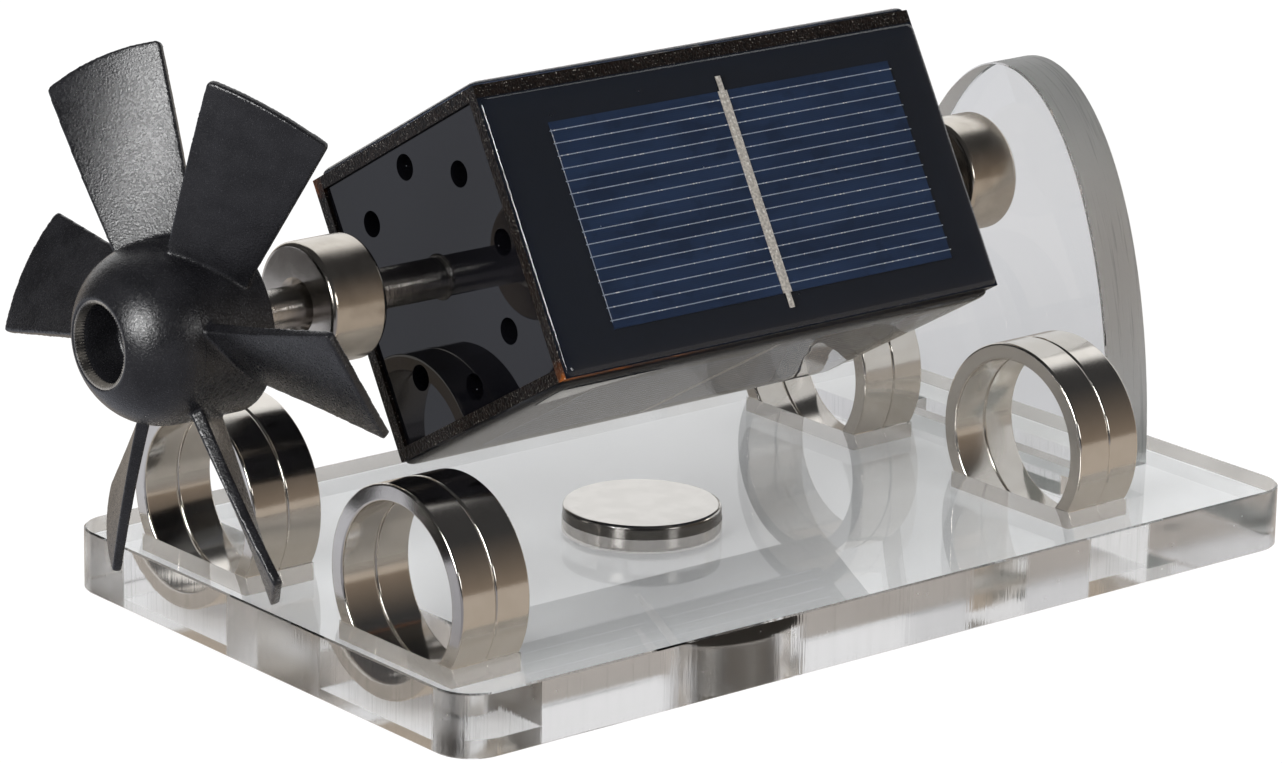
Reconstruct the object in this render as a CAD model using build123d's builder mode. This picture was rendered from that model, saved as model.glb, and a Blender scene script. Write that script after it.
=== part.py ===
"""Solar-powered demonstration motor with a magnetically carried rotor, in millimetres.

A clear acrylic stand holds four pairs of ring magnets, a disc magnet and an end upright.
The rotor floats over the ring magnets: a steel shaft with two ring magnets of its own, a
square drum of four solar panels round two crossed windings, and a six-blade fan in front.

Frame: X along the rotor axis with the fan at -X, Z up, origin under the centre of the base.
"""
from build123d import *
from math import atan2, cos, degrees, hypot, radians, sin, sqrt
import os

os.makedirs("parts", exist_ok=True)

# ---------------------------------------------------------------- driving dimensions, mm
# Stand, from the front edge of the base to its rear edge
front_edge_margin = 5.2  # base edge to the front ring magnets
front_rings_to_drum = 11.3
drum_to_rear_rings = 8.0
rear_rings_to_upright = 5.3
rear_edge_margin = 9.0  # upright to the rear edge of the base
side_edge_margin = 8.8  # base edge to the slots of the ring magnets
base_thickness = 8.0
base_corner_radius = 5.0
acrylic_edge_break = 0.2

upright_width = 44.6
upright_above_axis = 13.5
upright_thickness = 7.2
upright_slot_depth = 4.0
upright_shoulder = 6.0  # how far the tongue is set in from each side of the upright

# Fixed magnets
ring_outer_diameter = 25.4
ring_wall = 2.15
ring_thickness = 5.0
ring_edge_radius = 0.3
rings_per_station = 2
ring_gap_across = 15.3  # between the left and the right rings
ring_foot_height = 2.0  # lowest point of a ring above the underside of the base
disc_diameter = 20.0
disc_edge_radius = 0.5
disc_proud = 1.7  # above the base
disc_pocket_floor = 1.7
disc_offset = -1.6  # from the middle of the drum, along X

# Rotor shaft and its magnets
shaft_diameter = 5.0
shaft_end_chamfer = 0.3
shaft_past_rear_magnet = 0.5
tip_diameter = 3.0
tip_depth = 5.0  # length of the pointed tip inside the shaft
tip_flat_diameter = 0.4
rotor_magnet_diameter = 15.2
rotor_magnet_length = 8.0
rotor_magnet_edge_radius = 0.7
rotor_magnet_countersink = 0.9
front_magnet_offset = -0.5  # rotor magnet from the middle of the front rings
rear_magnet_offset = 2.5  # rotor magnet from the middle of the rear rings

# Solar drum
drum_to_disc_gap = 8.25  # under the turning corners of the drum
drum_roll = 30.2  # degrees, of the first panel above the horizontal, at rest
panel_length = 69.0
panel_width = 35.0
board_thickness = 1.6
resin_thickness = 0.8
resin_inset = 0.15
resin_edge_radius = 0.6
cell_front_margin = 8.8
cell_rear_margin = 6.2
cell_side_margin = 4.5
cell_thickness = 0.2
ribbon_width = 1.4
ribbon_tail_width = 0.8
ribbon_tail_margin = 2.6  # ribbon end to the side edge of the board
ribbon_thickness = 0.15
end_plate_recess = 0.5
end_plate_thickness = 3.0
vent_count = 8
vent_diameter = 3.3
vent_edge_margin = 1.05  # between a vent and the boards
glue_ring_width = 0.7
glue_ring_height = 0.5

# Windings inside the drum
winding_width = 4.0
winding_depth = 3.0
winding_corner_radius = 2.0
winding_to_shaft_gap = 0.5
winding_end_gap = 2.0  # between the outer winding and an end plate
winding_to_board_gap = 2.7
former_guide_height = 2.4
former_guide_inset = 0.2  # of the side guides from the corners of the former
solder_diameter = 2.4
solder_top_diameter = 1.0
solder_height = 0.5
lead_diameter = 0.6
lead_length = 6.0
lead_from_winding_end = 9.0  # along X from the fan end of the inner winding

# Fan
fan_standoff = 10.7  # front rotor magnet to the fan
blade_count = 6
blade_first_angle = -31.2  # degrees from straight up, towards the first panel
fan_tip_radius = 33.7
hub_radius = 10.8
hub_wall = 1.6
hub_boss_wall = 2.0
hub_cavity_depth = 7.4
hub_web_thickness = 4.0
hub_socket_in_web = 2.0
nose_bore_depth = 6.0
nose_bore_diameter = 9.2
nose_mouth_diameter = 10.3  # the bore narrows from its mouth
nose_mouth_depth = 1.8
nose_rim_width = 0.25
dome_length = 8.5
blade_root_chord = 9.9
blade_tip_chord = 16.0
blade_root_pitch = 46.0  # degrees from the plane of rotation
blade_tip_pitch = 30.0
blade_root_thickness = 1.6
blade_tip_thickness = 1.1
blade_bow = 0.5  # of the chord line, towards the nose
blade_root_shift = 0.7  # of the root across the blade's centre line
blade_root_from_rear = 5.9  # centre of a blade's root from the rear face of the hub
blade_tip_from_rear = 4.9
blade_root_bite = 0.9  # of a blade's root into the hub wall
blade_corner_radius = 0.5

# Fits
bond_gap = 0.02  # a glued shaft or pin in its bore
plate_bond_gap = 0.05
guide_gap = 0.1
slot_clearance = 0.1
pivot_gap = 0.1  # pointed tip to upright

# ---------------------------------------------------------------- derived sizes and places
ring_pack = rings_per_station * ring_thickness
base_length = (
    front_edge_margin
    + ring_pack
    + front_rings_to_drum
    + panel_length
    + drum_to_rear_rings
    + ring_pack
    + rear_rings_to_upright
    + upright_thickness
    + rear_edge_margin
)
base_front_x = -base_length / 2
front_rings_x = base_front_x + front_edge_margin
drum_front_x = front_rings_x + ring_pack + front_rings_to_drum
drum_rear_x = drum_front_x + panel_length
drum_x = (drum_front_x + drum_rear_x) / 2
rear_rings_x = drum_rear_x + drum_to_rear_rings
upright_face_x = rear_rings_x + ring_pack + rear_rings_to_upright

ring_radius = ring_outer_diameter / 2
ring_y = (ring_outer_diameter + ring_gap_across) / 2
ring_z = ring_foot_height + ring_radius
ring_chord = 2 * sqrt(ring_radius**2 - (ring_z - base_thickness) ** 2)
ring_slot_length = ring_chord + 2 * slot_clearance
ring_slot_width = ring_pack + 2 * slot_clearance
base_width = 2 * (ring_y + ring_slot_length / 2 + side_edge_margin)

panel_count = 4  # the drum is square
board_outer = (panel_width + board_thickness) / 2  # drum axis to a board's outer face
board_inner = board_outer - board_thickness
drum_swept_radius = hypot(board_outer, board_outer + resin_thickness)
axis_z = base_thickness + disc_proud + drum_to_disc_gap + drum_swept_radius
rotor_axis = Axis((0, 0, axis_z), (1, 0, 0))

shaft_radius = shaft_diameter / 2
bonded_bore_radius = shaft_radius + bond_gap
front_magnet_x = front_rings_x + ring_pack / 2 + front_magnet_offset
rear_magnet_x = rear_rings_x + ring_pack / 2 + rear_magnet_offset
fan_rear_x = front_magnet_x - rotor_magnet_length / 2 - fan_standoff
hub_length = nose_bore_depth + hub_web_thickness + hub_cavity_depth
blade_root_radius = hub_radius - blade_root_bite
fan_nose_x = fan_rear_x - hub_length
shaft_front_x = fan_rear_x - hub_cavity_depth - hub_socket_in_web
shaft_rear_x = rear_magnet_x + rotor_magnet_length / 2 + shaft_past_rear_magnet
tip_end_x = upright_face_x - pivot_gap

front_plate_x = drum_front_x + end_plate_recess
rear_plate_x = drum_rear_x - end_plate_recess
drum_inner_length = panel_length - 2 * (end_plate_recess + end_plate_thickness)
outer_winding_length = drum_inner_length - 2 * winding_end_gap
inner_winding_length = outer_winding_length - 2 * winding_depth
former_length = inner_winding_length - 2 * winding_depth
winding_top = board_inner - winding_to_board_gap
former_half_width = winding_top - winding_depth
winding_inner_edge = shaft_radius + winding_to_shaft_gap
winding_mid = winding_inner_edge + winding_width / 2
lead_x = lead_from_winding_end - inner_winding_length / 2
solder_x = lead_x - lead_length
solder_slope = degrees(atan2(solder_diameter - solder_top_diameter, 2 * solder_height))
solder_places = [(solder_x, -winding_mid), (solder_x, winding_mid)]

cell_length = panel_length - cell_front_margin - cell_rear_margin
cell_width = panel_width - 2 * cell_side_margin
cell_x = (cell_front_margin - cell_rear_margin) / 2
ribbon_length = panel_width - 2 * ribbon_tail_margin


# ---------------------------------------------------------------- planes and helpers
# Vertical plane through the rotor axis: local x along X, local y up from the axis
side_plane = Plane(origin=(0, 0, axis_z), x_dir=(1, 0, 0), z_dir=(0, -1, 0))


def cross_plane(x):
    """Plane across the rotor at x, with its axes square to the panels."""
    turn = radians(drum_roll)
    return Plane(origin=(x, 0, axis_z), x_dir=(0, sin(turn), cos(turn)), z_dir=(1, 0, 0))


def panel_plane(index, height=0.0):
    """Plane parallel to a panel, `height` out from the rotor axis, local x along X."""
    turn = radians(drum_roll + index * 360 / panel_count)
    outward = Vector(0, -cos(turn), sin(turn))
    origin = Vector(drum_x, 0, axis_z) + outward * height
    return Plane(origin=origin, x_dir=(1, 0, 0), z_dir=outward)


def save(piece, label):
    """Label a finished piece and write its STEP file."""
    piece.part.label = label
    export_step(piece.part, f"parts/{label}.step")


# ---------------------------------------------------------------- acrylic base
with BuildPart() as base_plate:
    with BuildSketch():
        RectangleRounded(base_length, base_width, base_corner_radius)
    extrude(amount=base_thickness)
    rims = base_plate.faces().filter_by(Axis.Z).edges()
    chamfer(rims, length=acrylic_edge_break)
    # A slot right through under each pair of ring magnets
    with BuildSketch() as ring_slots:
        for rings_x in (front_rings_x, rear_rings_x):
            with Locations((rings_x + ring_pack / 2, -ring_y), (rings_x + ring_pack / 2, ring_y)):
                Rectangle(ring_slot_width, ring_slot_length)
    extrude(amount=base_thickness, mode=Mode.SUBTRACT)
    # Blind pocket of the disc magnet
    with BuildSketch(Plane.XY.offset(disc_pocket_floor)):
        with Locations((drum_x + disc_offset, 0)):
            Circle(disc_diameter / 2 + slot_clearance)
    extrude(amount=base_thickness, mode=Mode.SUBTRACT)
    # Blind slot of the upright
    with BuildSketch(Plane.XY.offset(base_thickness - upright_slot_depth)):
        with Locations((upright_face_x + upright_thickness / 2, 0)):
            Rectangle(
                upright_thickness + 2 * slot_clearance,
                upright_width - 2 * upright_shoulder + 2 * slot_clearance,
            )
    extrude(amount=base_thickness, mode=Mode.SUBTRACT)
save(base_plate, "base_plate")

# ---------------------------------------------------------------- end upright, half an ellipse
upright_height = axis_z - base_thickness + upright_above_axis
upright_plane = Plane(
    origin=(upright_face_x, 0, base_thickness), x_dir=(0, 1, 0), z_dir=(1, 0, 0)
)
with BuildPart() as end_upright:
    with BuildSketch(upright_plane):
        Ellipse(upright_width / 2, upright_height)
        Rectangle(
            upright_width, upright_height, align=(Align.CENTER, Align.MAX), mode=Mode.SUBTRACT
        )
        Rectangle(
            upright_width - 2 * upright_shoulder,
            upright_slot_depth,
            align=(Align.CENTER, Align.MAX),
        )
    extrude(amount=upright_thickness)
    arched_edges = end_upright.edges().filter_by(GeomType.ELLIPSE)
    chamfer(arched_edges, length=acrylic_edge_break)
save(end_upright, "end_upright")


# ---------------------------------------------------------------- fixed magnets
def ring_magnet(x, y):
    """One ring magnet standing on edge, its front face at x."""
    ring_plane = Plane(origin=(x, y, ring_z), x_dir=(0, 1, 0), z_dir=(1, 0, 0))
    with BuildPart() as ring:
        with BuildSketch(ring_plane):
            Circle(ring_radius)
            Circle(ring_radius - ring_wall, mode=Mode.SUBTRACT)
        extrude(amount=ring_thickness)
        fillet(ring.edges().filter_by(GeomType.CIRCLE), radius=ring_edge_radius)
    return ring


for end_name, rings_x in (("front", front_rings_x), ("rear", rear_rings_x)):
    for side_name, side in (("right", -1), ("left", 1)):
        for ring_number in range(rings_per_station):
            ring = ring_magnet(rings_x + ring_number * ring_thickness, side * ring_y)
            save(ring, f"ring_magnet_{end_name}_{side_name}_{ring_number + 1}")

with BuildPart() as disc_magnet:
    with BuildSketch(Plane.XY.offset(disc_pocket_floor)):
        with Locations((drum_x + disc_offset, 0)):
            Circle(disc_diameter / 2)
    extrude(amount=base_thickness - disc_pocket_floor + disc_proud)
    fillet(disc_magnet.edges().filter_by(GeomType.CIRCLE), radius=disc_edge_radius)
save(disc_magnet, "disc_magnet")

# ---------------------------------------------------------------- shaft and pointed tip
with BuildPart() as shaft:
    with BuildSketch(Plane.YZ.offset(shaft_front_x)):
        with Locations((0, axis_z)):
            Circle(shaft_radius)
    extrude(amount=shaft_rear_x - shaft_front_x)
    chamfer(shaft.edges().filter_by(GeomType.CIRCLE), length=shaft_end_chamfer)
    with BuildSketch(Plane.YZ.offset(shaft_rear_x - tip_depth)):
        with Locations((0, axis_z)):
            Circle(tip_diameter / 2 + bond_gap)
    extrude(amount=tip_depth, mode=Mode.SUBTRACT)
save(shaft, "shaft")

with BuildPart() as pointed_tip:
    with BuildSketch(side_plane):
        with BuildLine():
            Polyline(
                (shaft_rear_x - tip_depth, 0),
                (shaft_rear_x - tip_depth, tip_diameter / 2),
                (shaft_rear_x, tip_diameter / 2),
                (tip_end_x, tip_flat_diameter / 2),
                (tip_end_x, 0),
                close=True,
            )
        make_face()
    revolve(axis=rotor_axis)
save(pointed_tip, "pointed_tip")


# ---------------------------------------------------------------- rotor magnets
def rotor_magnet(x):
    """Ring magnet on the shaft, centred on x, with rounded rims and a countersunk bore."""
    outer_radius = rotor_magnet_diameter / 2
    with BuildPart() as magnet:
        with BuildSketch(side_plane) as half_section:
            with Locations((x, (outer_radius + bonded_bore_radius) / 2)):
                Rectangle(rotor_magnet_length, outer_radius - bonded_bore_radius)
            bore_corners = half_section.vertices().group_by(Axis.Y)[0]
            outer_corners = half_section.vertices().group_by(Axis.Y)[-1]
            chamfer(bore_corners, length=rotor_magnet_countersink)
            fillet(outer_corners, radius=rotor_magnet_edge_radius)
        revolve(axis=rotor_axis)
    return magnet


save(rotor_magnet(front_magnet_x), "rotor_magnet_front")
save(rotor_magnet(rear_magnet_x), "rotor_magnet_rear")


# ---------------------------------------------------------------- black end plates of the drum
def end_plate(x):
    """Square plate with a shaft hole and a ring of vents, its front face at x."""
    side = 2 * (board_inner - plate_bond_gap)
    vent_circle_radius = board_inner - vent_edge_margin - vent_diameter / 2
    with BuildPart() as plate:
        with BuildSketch(cross_plane(x)):
            Rectangle(side, side)
            Circle(bonded_bore_radius, mode=Mode.SUBTRACT)
            with PolarLocations(vent_circle_radius, vent_count):
                Circle(vent_diameter / 2, mode=Mode.SUBTRACT)
        extrude(amount=end_plate_thickness)
    return plate


save(end_plate(front_plate_x), "end_plate_front")
save(end_plate(rear_plate_x - end_plate_thickness), "end_plate_rear")


def glue_ring(x, outward):
    """Small cone of set glue round the shaft, on the outer face of an end plate at x."""
    with BuildPart() as glue:
        with BuildSketch(side_plane):
            with BuildLine():
                Polyline(
                    (x, bonded_bore_radius),
                    (x, bonded_bore_radius + glue_ring_width),
                    (x + outward * glue_ring_height, bonded_bore_radius),
                    close=True,
                )
            make_face()
        revolve(axis=rotor_axis)
    return glue


save(glue_ring(front_plate_x, -1), "glue_ring_front")
save(glue_ring(rear_plate_x, 1), "glue_ring_rear")

# ---------------------------------------------------------------- winding former and windings
with BuildPart() as coil_former:
    with BuildSketch(cross_plane(drum_x - former_length / 2)):
        Rectangle(2 * former_half_width, 2 * former_half_width)
        # Guides beside the two grooves on each face
        centre_guide = 2 * (winding_inner_edge - guide_gap)
        side_guide_start = winding_inner_edge + winding_width + guide_gap
        side_guide_end = former_half_width - former_guide_inset
        side_guide = side_guide_end - side_guide_start
        side_guide_middle = (side_guide_start + side_guide_end) / 2
        reach = former_half_width + former_guide_height
        Rectangle(centre_guide, 2 * reach)
        Rectangle(2 * reach, centre_guide)
        with Locations((-side_guide_middle, 0), (side_guide_middle, 0)):
            Rectangle(side_guide, 2 * reach)
        with Locations((0, -side_guide_middle), (0, side_guide_middle)):
            Rectangle(2 * reach, side_guide)
        Circle(bonded_bore_radius, mode=Mode.SUBTRACT)
    extrude(amount=former_length)
save(coil_former, "coil_former")


def winding(index, inner_length):
    """Two flat loops of one winding, one on each side of the shaft, under two panels."""
    with BuildPart() as loops:
        for start in (winding_inner_edge, -winding_inner_edge - winding_width):
            with BuildSketch(panel_plane(index + 1, start)):
                RectangleRounded(
                    inner_length + 2 * winding_depth, 2 * winding_top, winding_corner_radius
                )
                Rectangle(inner_length, 2 * former_half_width, mode=Mode.SUBTRACT)
            extrude(amount=winding_width)
    return loops


save(winding(0, former_length), "winding_inner")
save(winding(1, inner_winding_length), "winding_outer")


# ---------------------------------------------------------------- solar panels
def panel_board(index):
    """Circuit board of one panel, butted against the next one round the drum."""
    with BuildPart() as board:
        with BuildSketch(panel_plane(index, board_inner)):
            with Locations((0, -board_thickness / 2)):
                Rectangle(panel_length, panel_width)
        extrude(amount=board_thickness)
    return board


def panel_cell(index):
    """Silicon cell on the outer face of the board."""
    with BuildPart() as cell:
        with BuildSketch(panel_plane(index, board_outer)):
            with Locations((cell_x, -board_thickness / 2)):
                Rectangle(cell_length, cell_width)
        extrude(amount=cell_thickness)
    return cell


def panel_ribbon(index):
    """Tinned ribbon across the cell, with a narrow tail past each side of it."""
    with BuildPart() as ribbon:
        with BuildSketch(panel_plane(index, board_outer + cell_thickness)):
            with Locations((cell_x, -board_thickness / 2)):
                Rectangle(ribbon_width, cell_width)
                Rectangle(ribbon_tail_width, ribbon_length)
        extrude(amount=ribbon_thickness)
    return ribbon


def panel_resin(index, cell, ribbon):
    """Clear resin poured over the board, the cell and the ribbon."""
    with BuildPart() as resin:
        with BuildSketch(panel_plane(index, board_outer)):
            with Locations((0, -board_thickness / 2)):
                Rectangle(panel_length - 2 * resin_inset, panel_width - 2 * resin_inset)
        extrude(amount=resin_thickness)
        outward = panel_plane(index).z_dir
        top_rim = resin.faces().sort_by(Axis(rotor_axis.position, outward))[-1].edges()
        fillet(top_rim, radius=resin_edge_radius)
        add(cell.part, mode=Mode.SUBTRACT)
        add(ribbon.part, mode=Mode.SUBTRACT)
    return resin


def panel_solder(index):
    """Two solder joints on the inner face of the board, under the ends of the leads."""
    with BuildPart() as solder:
        with BuildSketch(panel_plane(index, board_inner)):
            with Locations(*solder_places):
                Circle(solder_diameter / 2)
        extrude(amount=-solder_height, taper=solder_slope)
    return solder


def panel_leads(index):
    """Two enamelled leads from the winding under the panel to the panel's solder joints."""
    rise = (board_inner - solder_height) - winding_top
    bend = rise / 4
    with BuildPart() as leads:
        for x, y in solder_places:
            across = panel_plane(index).y_dir
            origin = panel_plane(index).from_local_coords(Vector(lead_x, y, winding_top))
            route_plane = Plane(origin=origin, x_dir=(1, 0, 0), z_dir=-across)
            with BuildLine(route_plane) as route:
                FilletPolyline(
                    (0, 0), (0, rise / 2), (-lead_length, rise / 2), (-lead_length, rise),
                    radius=bend,
                )
            with BuildSketch(Plane(origin=route.line @ 0, z_dir=route.line % 0)):
                Circle(lead_diameter / 2)
            sweep()
    return leads


for index in range(panel_count):
    name = f"panel_{index + 1}"
    cell = panel_cell(index)
    ribbon = panel_ribbon(index)
    save(panel_board(index), f"{name}_board")
    save(panel_resin(index, cell, ribbon), f"{name}_resin")
    save(cell, f"{name}_cell")
    save(ribbon, f"{name}_ribbon")
    save(panel_solder(index), f"{name}_solder")
    save(panel_leads(index), f"{name}_leads")


# ---------------------------------------------------------------- fan
def blade_section(radius):
    """Sketch of a blade's bowed section on a plane square to the blade, at a radius."""
    share = (radius - blade_root_radius) / (fan_tip_radius - blade_root_radius)
    chord = blade_root_chord + share * (blade_tip_chord - blade_root_chord)
    pitch = radians(blade_root_pitch + share * (blade_tip_pitch - blade_root_pitch))
    thickness = blade_root_thickness + share * (blade_tip_thickness - blade_root_thickness)
    from_rear = blade_root_from_rear + share * (blade_tip_from_rear - blade_root_from_rear)
    turn = radians(blade_first_angle)
    outward = Vector(0, -sin(turn), cos(turn))
    origin = Vector(fan_rear_x - from_rear, 0, axis_z) + outward * radius
    plane = Plane(origin=origin, x_dir=(1, 0, 0), z_dir=outward)
    along = Vector(sin(pitch), -cos(pitch))
    normal = Vector(-cos(pitch), -sin(pitch))
    middle = Vector(0, -blade_root_shift * (1 - share))
    front_end = middle - along * (chord / 2)
    rear_end = middle + along * (chord / 2)
    crest = middle + normal * blade_bow
    half = normal * (thickness / 2)
    with BuildSketch(plane) as section:
        with BuildLine():
            ThreePointArc(front_end + half, crest + half, rear_end + half)
            Line(rear_end + half, rear_end - half)
            ThreePointArc(rear_end - half, crest - half, front_end - half)
            Line(front_end - half, front_end + half)
        make_face()
    return section


with BuildPart() as blade:
    root_section = blade_section(blade_root_radius)
    tip_section = blade_section(fan_tip_radius)
    loft(sections=[root_section.sketch, tip_section.sketch], ruled=True)
    # The tip follows the circle that the blades sweep
    with BuildSketch(Plane.YZ.offset(fan_nose_x)):
        with Locations((0, axis_z)):
            Circle(fan_tip_radius)
    extrude(amount=2 * hub_length, mode=Mode.INTERSECT)
    first_turn = radians(blade_first_angle)
    outward = Axis(rotor_axis.position, (0, -sin(first_turn), cos(first_turn)))
    tip_face = blade.faces().sort_by(outward)[-1]
    fillet(tip_face.edges().sort_by(SortBy.LENGTH)[:2], radius=blade_corner_radius)

blades = [
    blade.part.rotate(rotor_axis, number * 360 / blade_count) for number in range(blade_count)
]

with BuildPart() as fan:
    with BuildSketch(side_plane):
        with BuildLine():
            cavity_x = fan_rear_x - hub_cavity_depth
            socket_x = cavity_x - hub_socket_in_web
            nose_radius = nose_bore_diameter / 2
            mouth_radius = nose_mouth_diameter / 2
            boss_radius = shaft_radius + hub_boss_wall
            dome_start = (fan_nose_x + dome_length, hub_radius)
            rim = (fan_nose_x, mouth_radius + nose_rim_width)
            Polyline(
                rim,
                (fan_nose_x, mouth_radius),
                (fan_nose_x + nose_mouth_depth, nose_radius),
                (fan_nose_x + nose_bore_depth, nose_radius),
                (fan_nose_x + nose_bore_depth, 0),
                (socket_x, 0),
                (socket_x, bonded_bore_radius),
                (fan_rear_x, bonded_bore_radius),
                (fan_rear_x, boss_radius),
                (cavity_x, boss_radius),
                (cavity_x, hub_radius - hub_wall),
                (fan_rear_x, hub_radius - hub_wall),
                (fan_rear_x, hub_radius),
                dome_start,
            )
            TangentArc(dome_start, rim, tangent=(-1, 0))
        make_face()
    revolve(axis=rotor_axis)
    add(blades)
save(fan, "fan")
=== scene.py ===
"""Solar-powered demonstration motor with a magnetically carried rotor, dressed round its CAD.

Sizes are written in millimetres and made metres by MM. X runs along the rotor axis with the
fan at -X, and Z is up. The CAD nodes that keep their shape get their finish here, and the fan,
the poured resin and the glue are modelled anew.
"""

from __future__ import annotations

import logging
from collections.abc import Callable, Iterator, Sequence
from contextlib import contextmanager
from dataclasses import dataclass, field
from enum import Enum
from itertools import pairwise
from math import cos, hypot, pi, radians, sin

import bpy
from mathutils import Matrix, Vector

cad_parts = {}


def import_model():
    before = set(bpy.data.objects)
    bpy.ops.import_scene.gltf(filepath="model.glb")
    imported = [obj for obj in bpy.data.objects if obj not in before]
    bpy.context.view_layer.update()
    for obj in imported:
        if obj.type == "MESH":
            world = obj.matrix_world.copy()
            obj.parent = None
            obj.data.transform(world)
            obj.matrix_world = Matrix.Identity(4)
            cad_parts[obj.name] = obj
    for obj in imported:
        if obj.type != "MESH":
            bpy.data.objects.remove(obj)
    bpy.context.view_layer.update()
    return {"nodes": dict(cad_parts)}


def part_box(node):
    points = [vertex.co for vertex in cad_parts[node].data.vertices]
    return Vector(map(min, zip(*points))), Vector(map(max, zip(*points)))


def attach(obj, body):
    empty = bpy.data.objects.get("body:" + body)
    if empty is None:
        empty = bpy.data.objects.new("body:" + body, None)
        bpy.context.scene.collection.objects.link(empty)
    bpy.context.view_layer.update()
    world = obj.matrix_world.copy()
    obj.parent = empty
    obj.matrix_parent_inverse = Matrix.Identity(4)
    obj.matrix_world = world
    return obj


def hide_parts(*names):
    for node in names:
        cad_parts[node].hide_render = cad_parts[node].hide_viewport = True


LOG = logging.getLogger("solar_motor")

MM = 0.001
PER_MM = 1 / MM
IMAGE_WIDTH = 1282

AXIS_HEIGHT = 44.402  # mm, of the rotor above the base's underside

Colour = tuple[float, float, float]
Span = tuple[float, float]
Test = Callable[[Vector, Vector], bool]

DRUM_ROLL = 30.2  # degrees, of panel 1 above the horizontal
PANEL_COUNT = 4

ALONG_AXIS = 0.9  # a direction with more than this along an axis is taken to lie along it
FACE_TO_EDGE: Span = (0.6, 0.3)  # the same measure, from the face of a sheet to its edge


class Body(str, Enum):
    """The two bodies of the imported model."""

    STAND = "stand"
    ROTOR = "rotor"


class Select(Enum):
    """What edit mode selects: vertices, edges or faces."""

    VERTICES = (True, False, False)
    EDGES = (False, True, False)
    FACES = (False, False, True)


@dataclass(frozen=True)
class Flecks:
    """How many flecks lie on a surface."""

    per_mm: float
    size: float  # reach of a fleck, as a share of the space between two
    share: float  # share of the places that hold one


@dataclass(frozen=True)
class Relief:
    """How deep a surface is marked."""

    strength: float  # share that shows
    depth: float  # mm


# ------------------------------------------------------------------ modelling by hand
def clear_selection() -> None:
    """Leave edit mode and deselect every object."""
    if bpy.context.object is not None and bpy.context.object.mode != "OBJECT":
        bpy.ops.object.mode_set(mode="OBJECT")
    bpy.ops.object.select_all(action="DESELECT")


def activate(piece: bpy.types.Object) -> None:
    """Select one piece alone and make it active.

    Args:
        piece: The piece.
    """
    clear_selection()
    piece.select_set(True)
    bpy.context.view_layer.objects.active = piece


def named(name: str) -> bpy.types.Object:
    """Name the primitive that was just added, and put its place into its mesh.

    Args:
        name: Name of the piece and of its mesh.

    Returns:
        The piece, at the origin and unscaled.
    """
    piece = bpy.context.object
    piece.name = name
    piece.data.name = name
    bpy.ops.object.transform_apply(location=True, rotation=True, scale=True)
    return piece


@contextmanager
def editing(piece: bpy.types.Object, select: Select = Select.FACES) -> Iterator[None]:
    """Edit mode on one piece, with all of it selected at first.

    Args:
        piece: The mesh to edit.
        select: What the operators inside select.

    Yields:
        Nothing, while edit mode is on.
    """
    activate(piece)
    bpy.context.tool_settings.mesh_select_mode = select.value
    bpy.ops.object.mode_set(mode="EDIT")
    bpy.ops.mesh.select_all(action="SELECT")
    yield
    bpy.ops.object.mode_set(mode="OBJECT")


def pick(piece: bpy.types.Object, wanted: Test, select: Select = Select.FACES) -> None:
    """Select, in edit mode, the faces, edges or vertices that a test wants.

    Args:
        piece: The piece in edit mode.
        wanted: Test on a place and a normal, or for an edge on its middle and direction.
        select: What is tested.
    """
    bpy.context.tool_settings.mesh_select_mode = select.value
    bpy.ops.mesh.select_all(action="DESELECT")
    bpy.ops.object.mode_set(mode="OBJECT")
    mesh = piece.data
    if select is Select.FACES:
        for face in mesh.polygons:
            face.select = wanted(face.center, face.normal)
    elif select is Select.EDGES:
        for edge in mesh.edges:
            start, end = (mesh.vertices[index].co for index in edge.vertices)
            edge.select = wanted((start + end) / 2, (end - start).normalized())
    else:
        for vertex in mesh.vertices:
            vertex.select = wanted(vertex.co, vertex.normal)
    bpy.ops.object.mode_set(mode="EDIT")


def finish_with(piece: bpy.types.Object, kind: str, **settings: object) -> None:
    """Add a modifier to a piece and apply it.

    Args:
        piece: The piece to change.
        kind: Type of the modifier.
        **settings: Values of the modifier.
    """
    activate(piece)
    modifier = piece.modifiers.new(kind.lower(), kind)
    for setting, value in settings.items():
        setattr(modifier, setting, value)
    bpy.ops.object.modifier_apply(modifier=modifier.name)


def face_outwards(piece: bpy.types.Object, merge: float = 0.001 * MM) -> None:
    """Merge the doubles of a closed piece and turn its faces outwards.

    Args:
        piece: The closed piece.
        merge: Points nearer than this become one, in m.
    """
    with editing(piece, Select.VERTICES):
        bpy.ops.mesh.remove_doubles(threshold=merge)
        bpy.ops.mesh.normals_make_consistent(inside=False)


def smooth(piece: bpy.types.Object, angle: float = 35.0) -> None:
    """Shade a piece smooth up to an angle in degrees."""
    activate(piece)
    bpy.ops.object.shade_smooth_by_angle(angle=radians(angle))


def copy_of(piece: bpy.types.Object, name: str, place: Matrix) -> bpy.types.Object:
    """Copy a piece with a mesh of its own.

    Args:
        piece: The piece to copy.
        name: Name of the copy.
        place: Turn and shift that are put into the copy's mesh.

    Returns:
        The copy, at the origin.
    """
    twin = piece.copy()
    twin.data = piece.data.copy()
    twin.name = name
    twin.data.name = name
    bpy.context.collection.objects.link(twin)
    twin.data.transform(place)
    return twin


def joined(pieces: Sequence[bpy.types.Object], name: str) -> bpy.types.Object:
    """Join pieces into the first of them.

    Args:
        pieces: The pieces.
        name: Name of the joined piece.

    Returns:
        The first piece, which now holds all of them.
    """
    activate(pieces[0])
    for piece in pieces:
        piece.select_set(True)
    bpy.ops.object.join()
    pieces[0].name = name
    return pieces[0]


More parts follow.
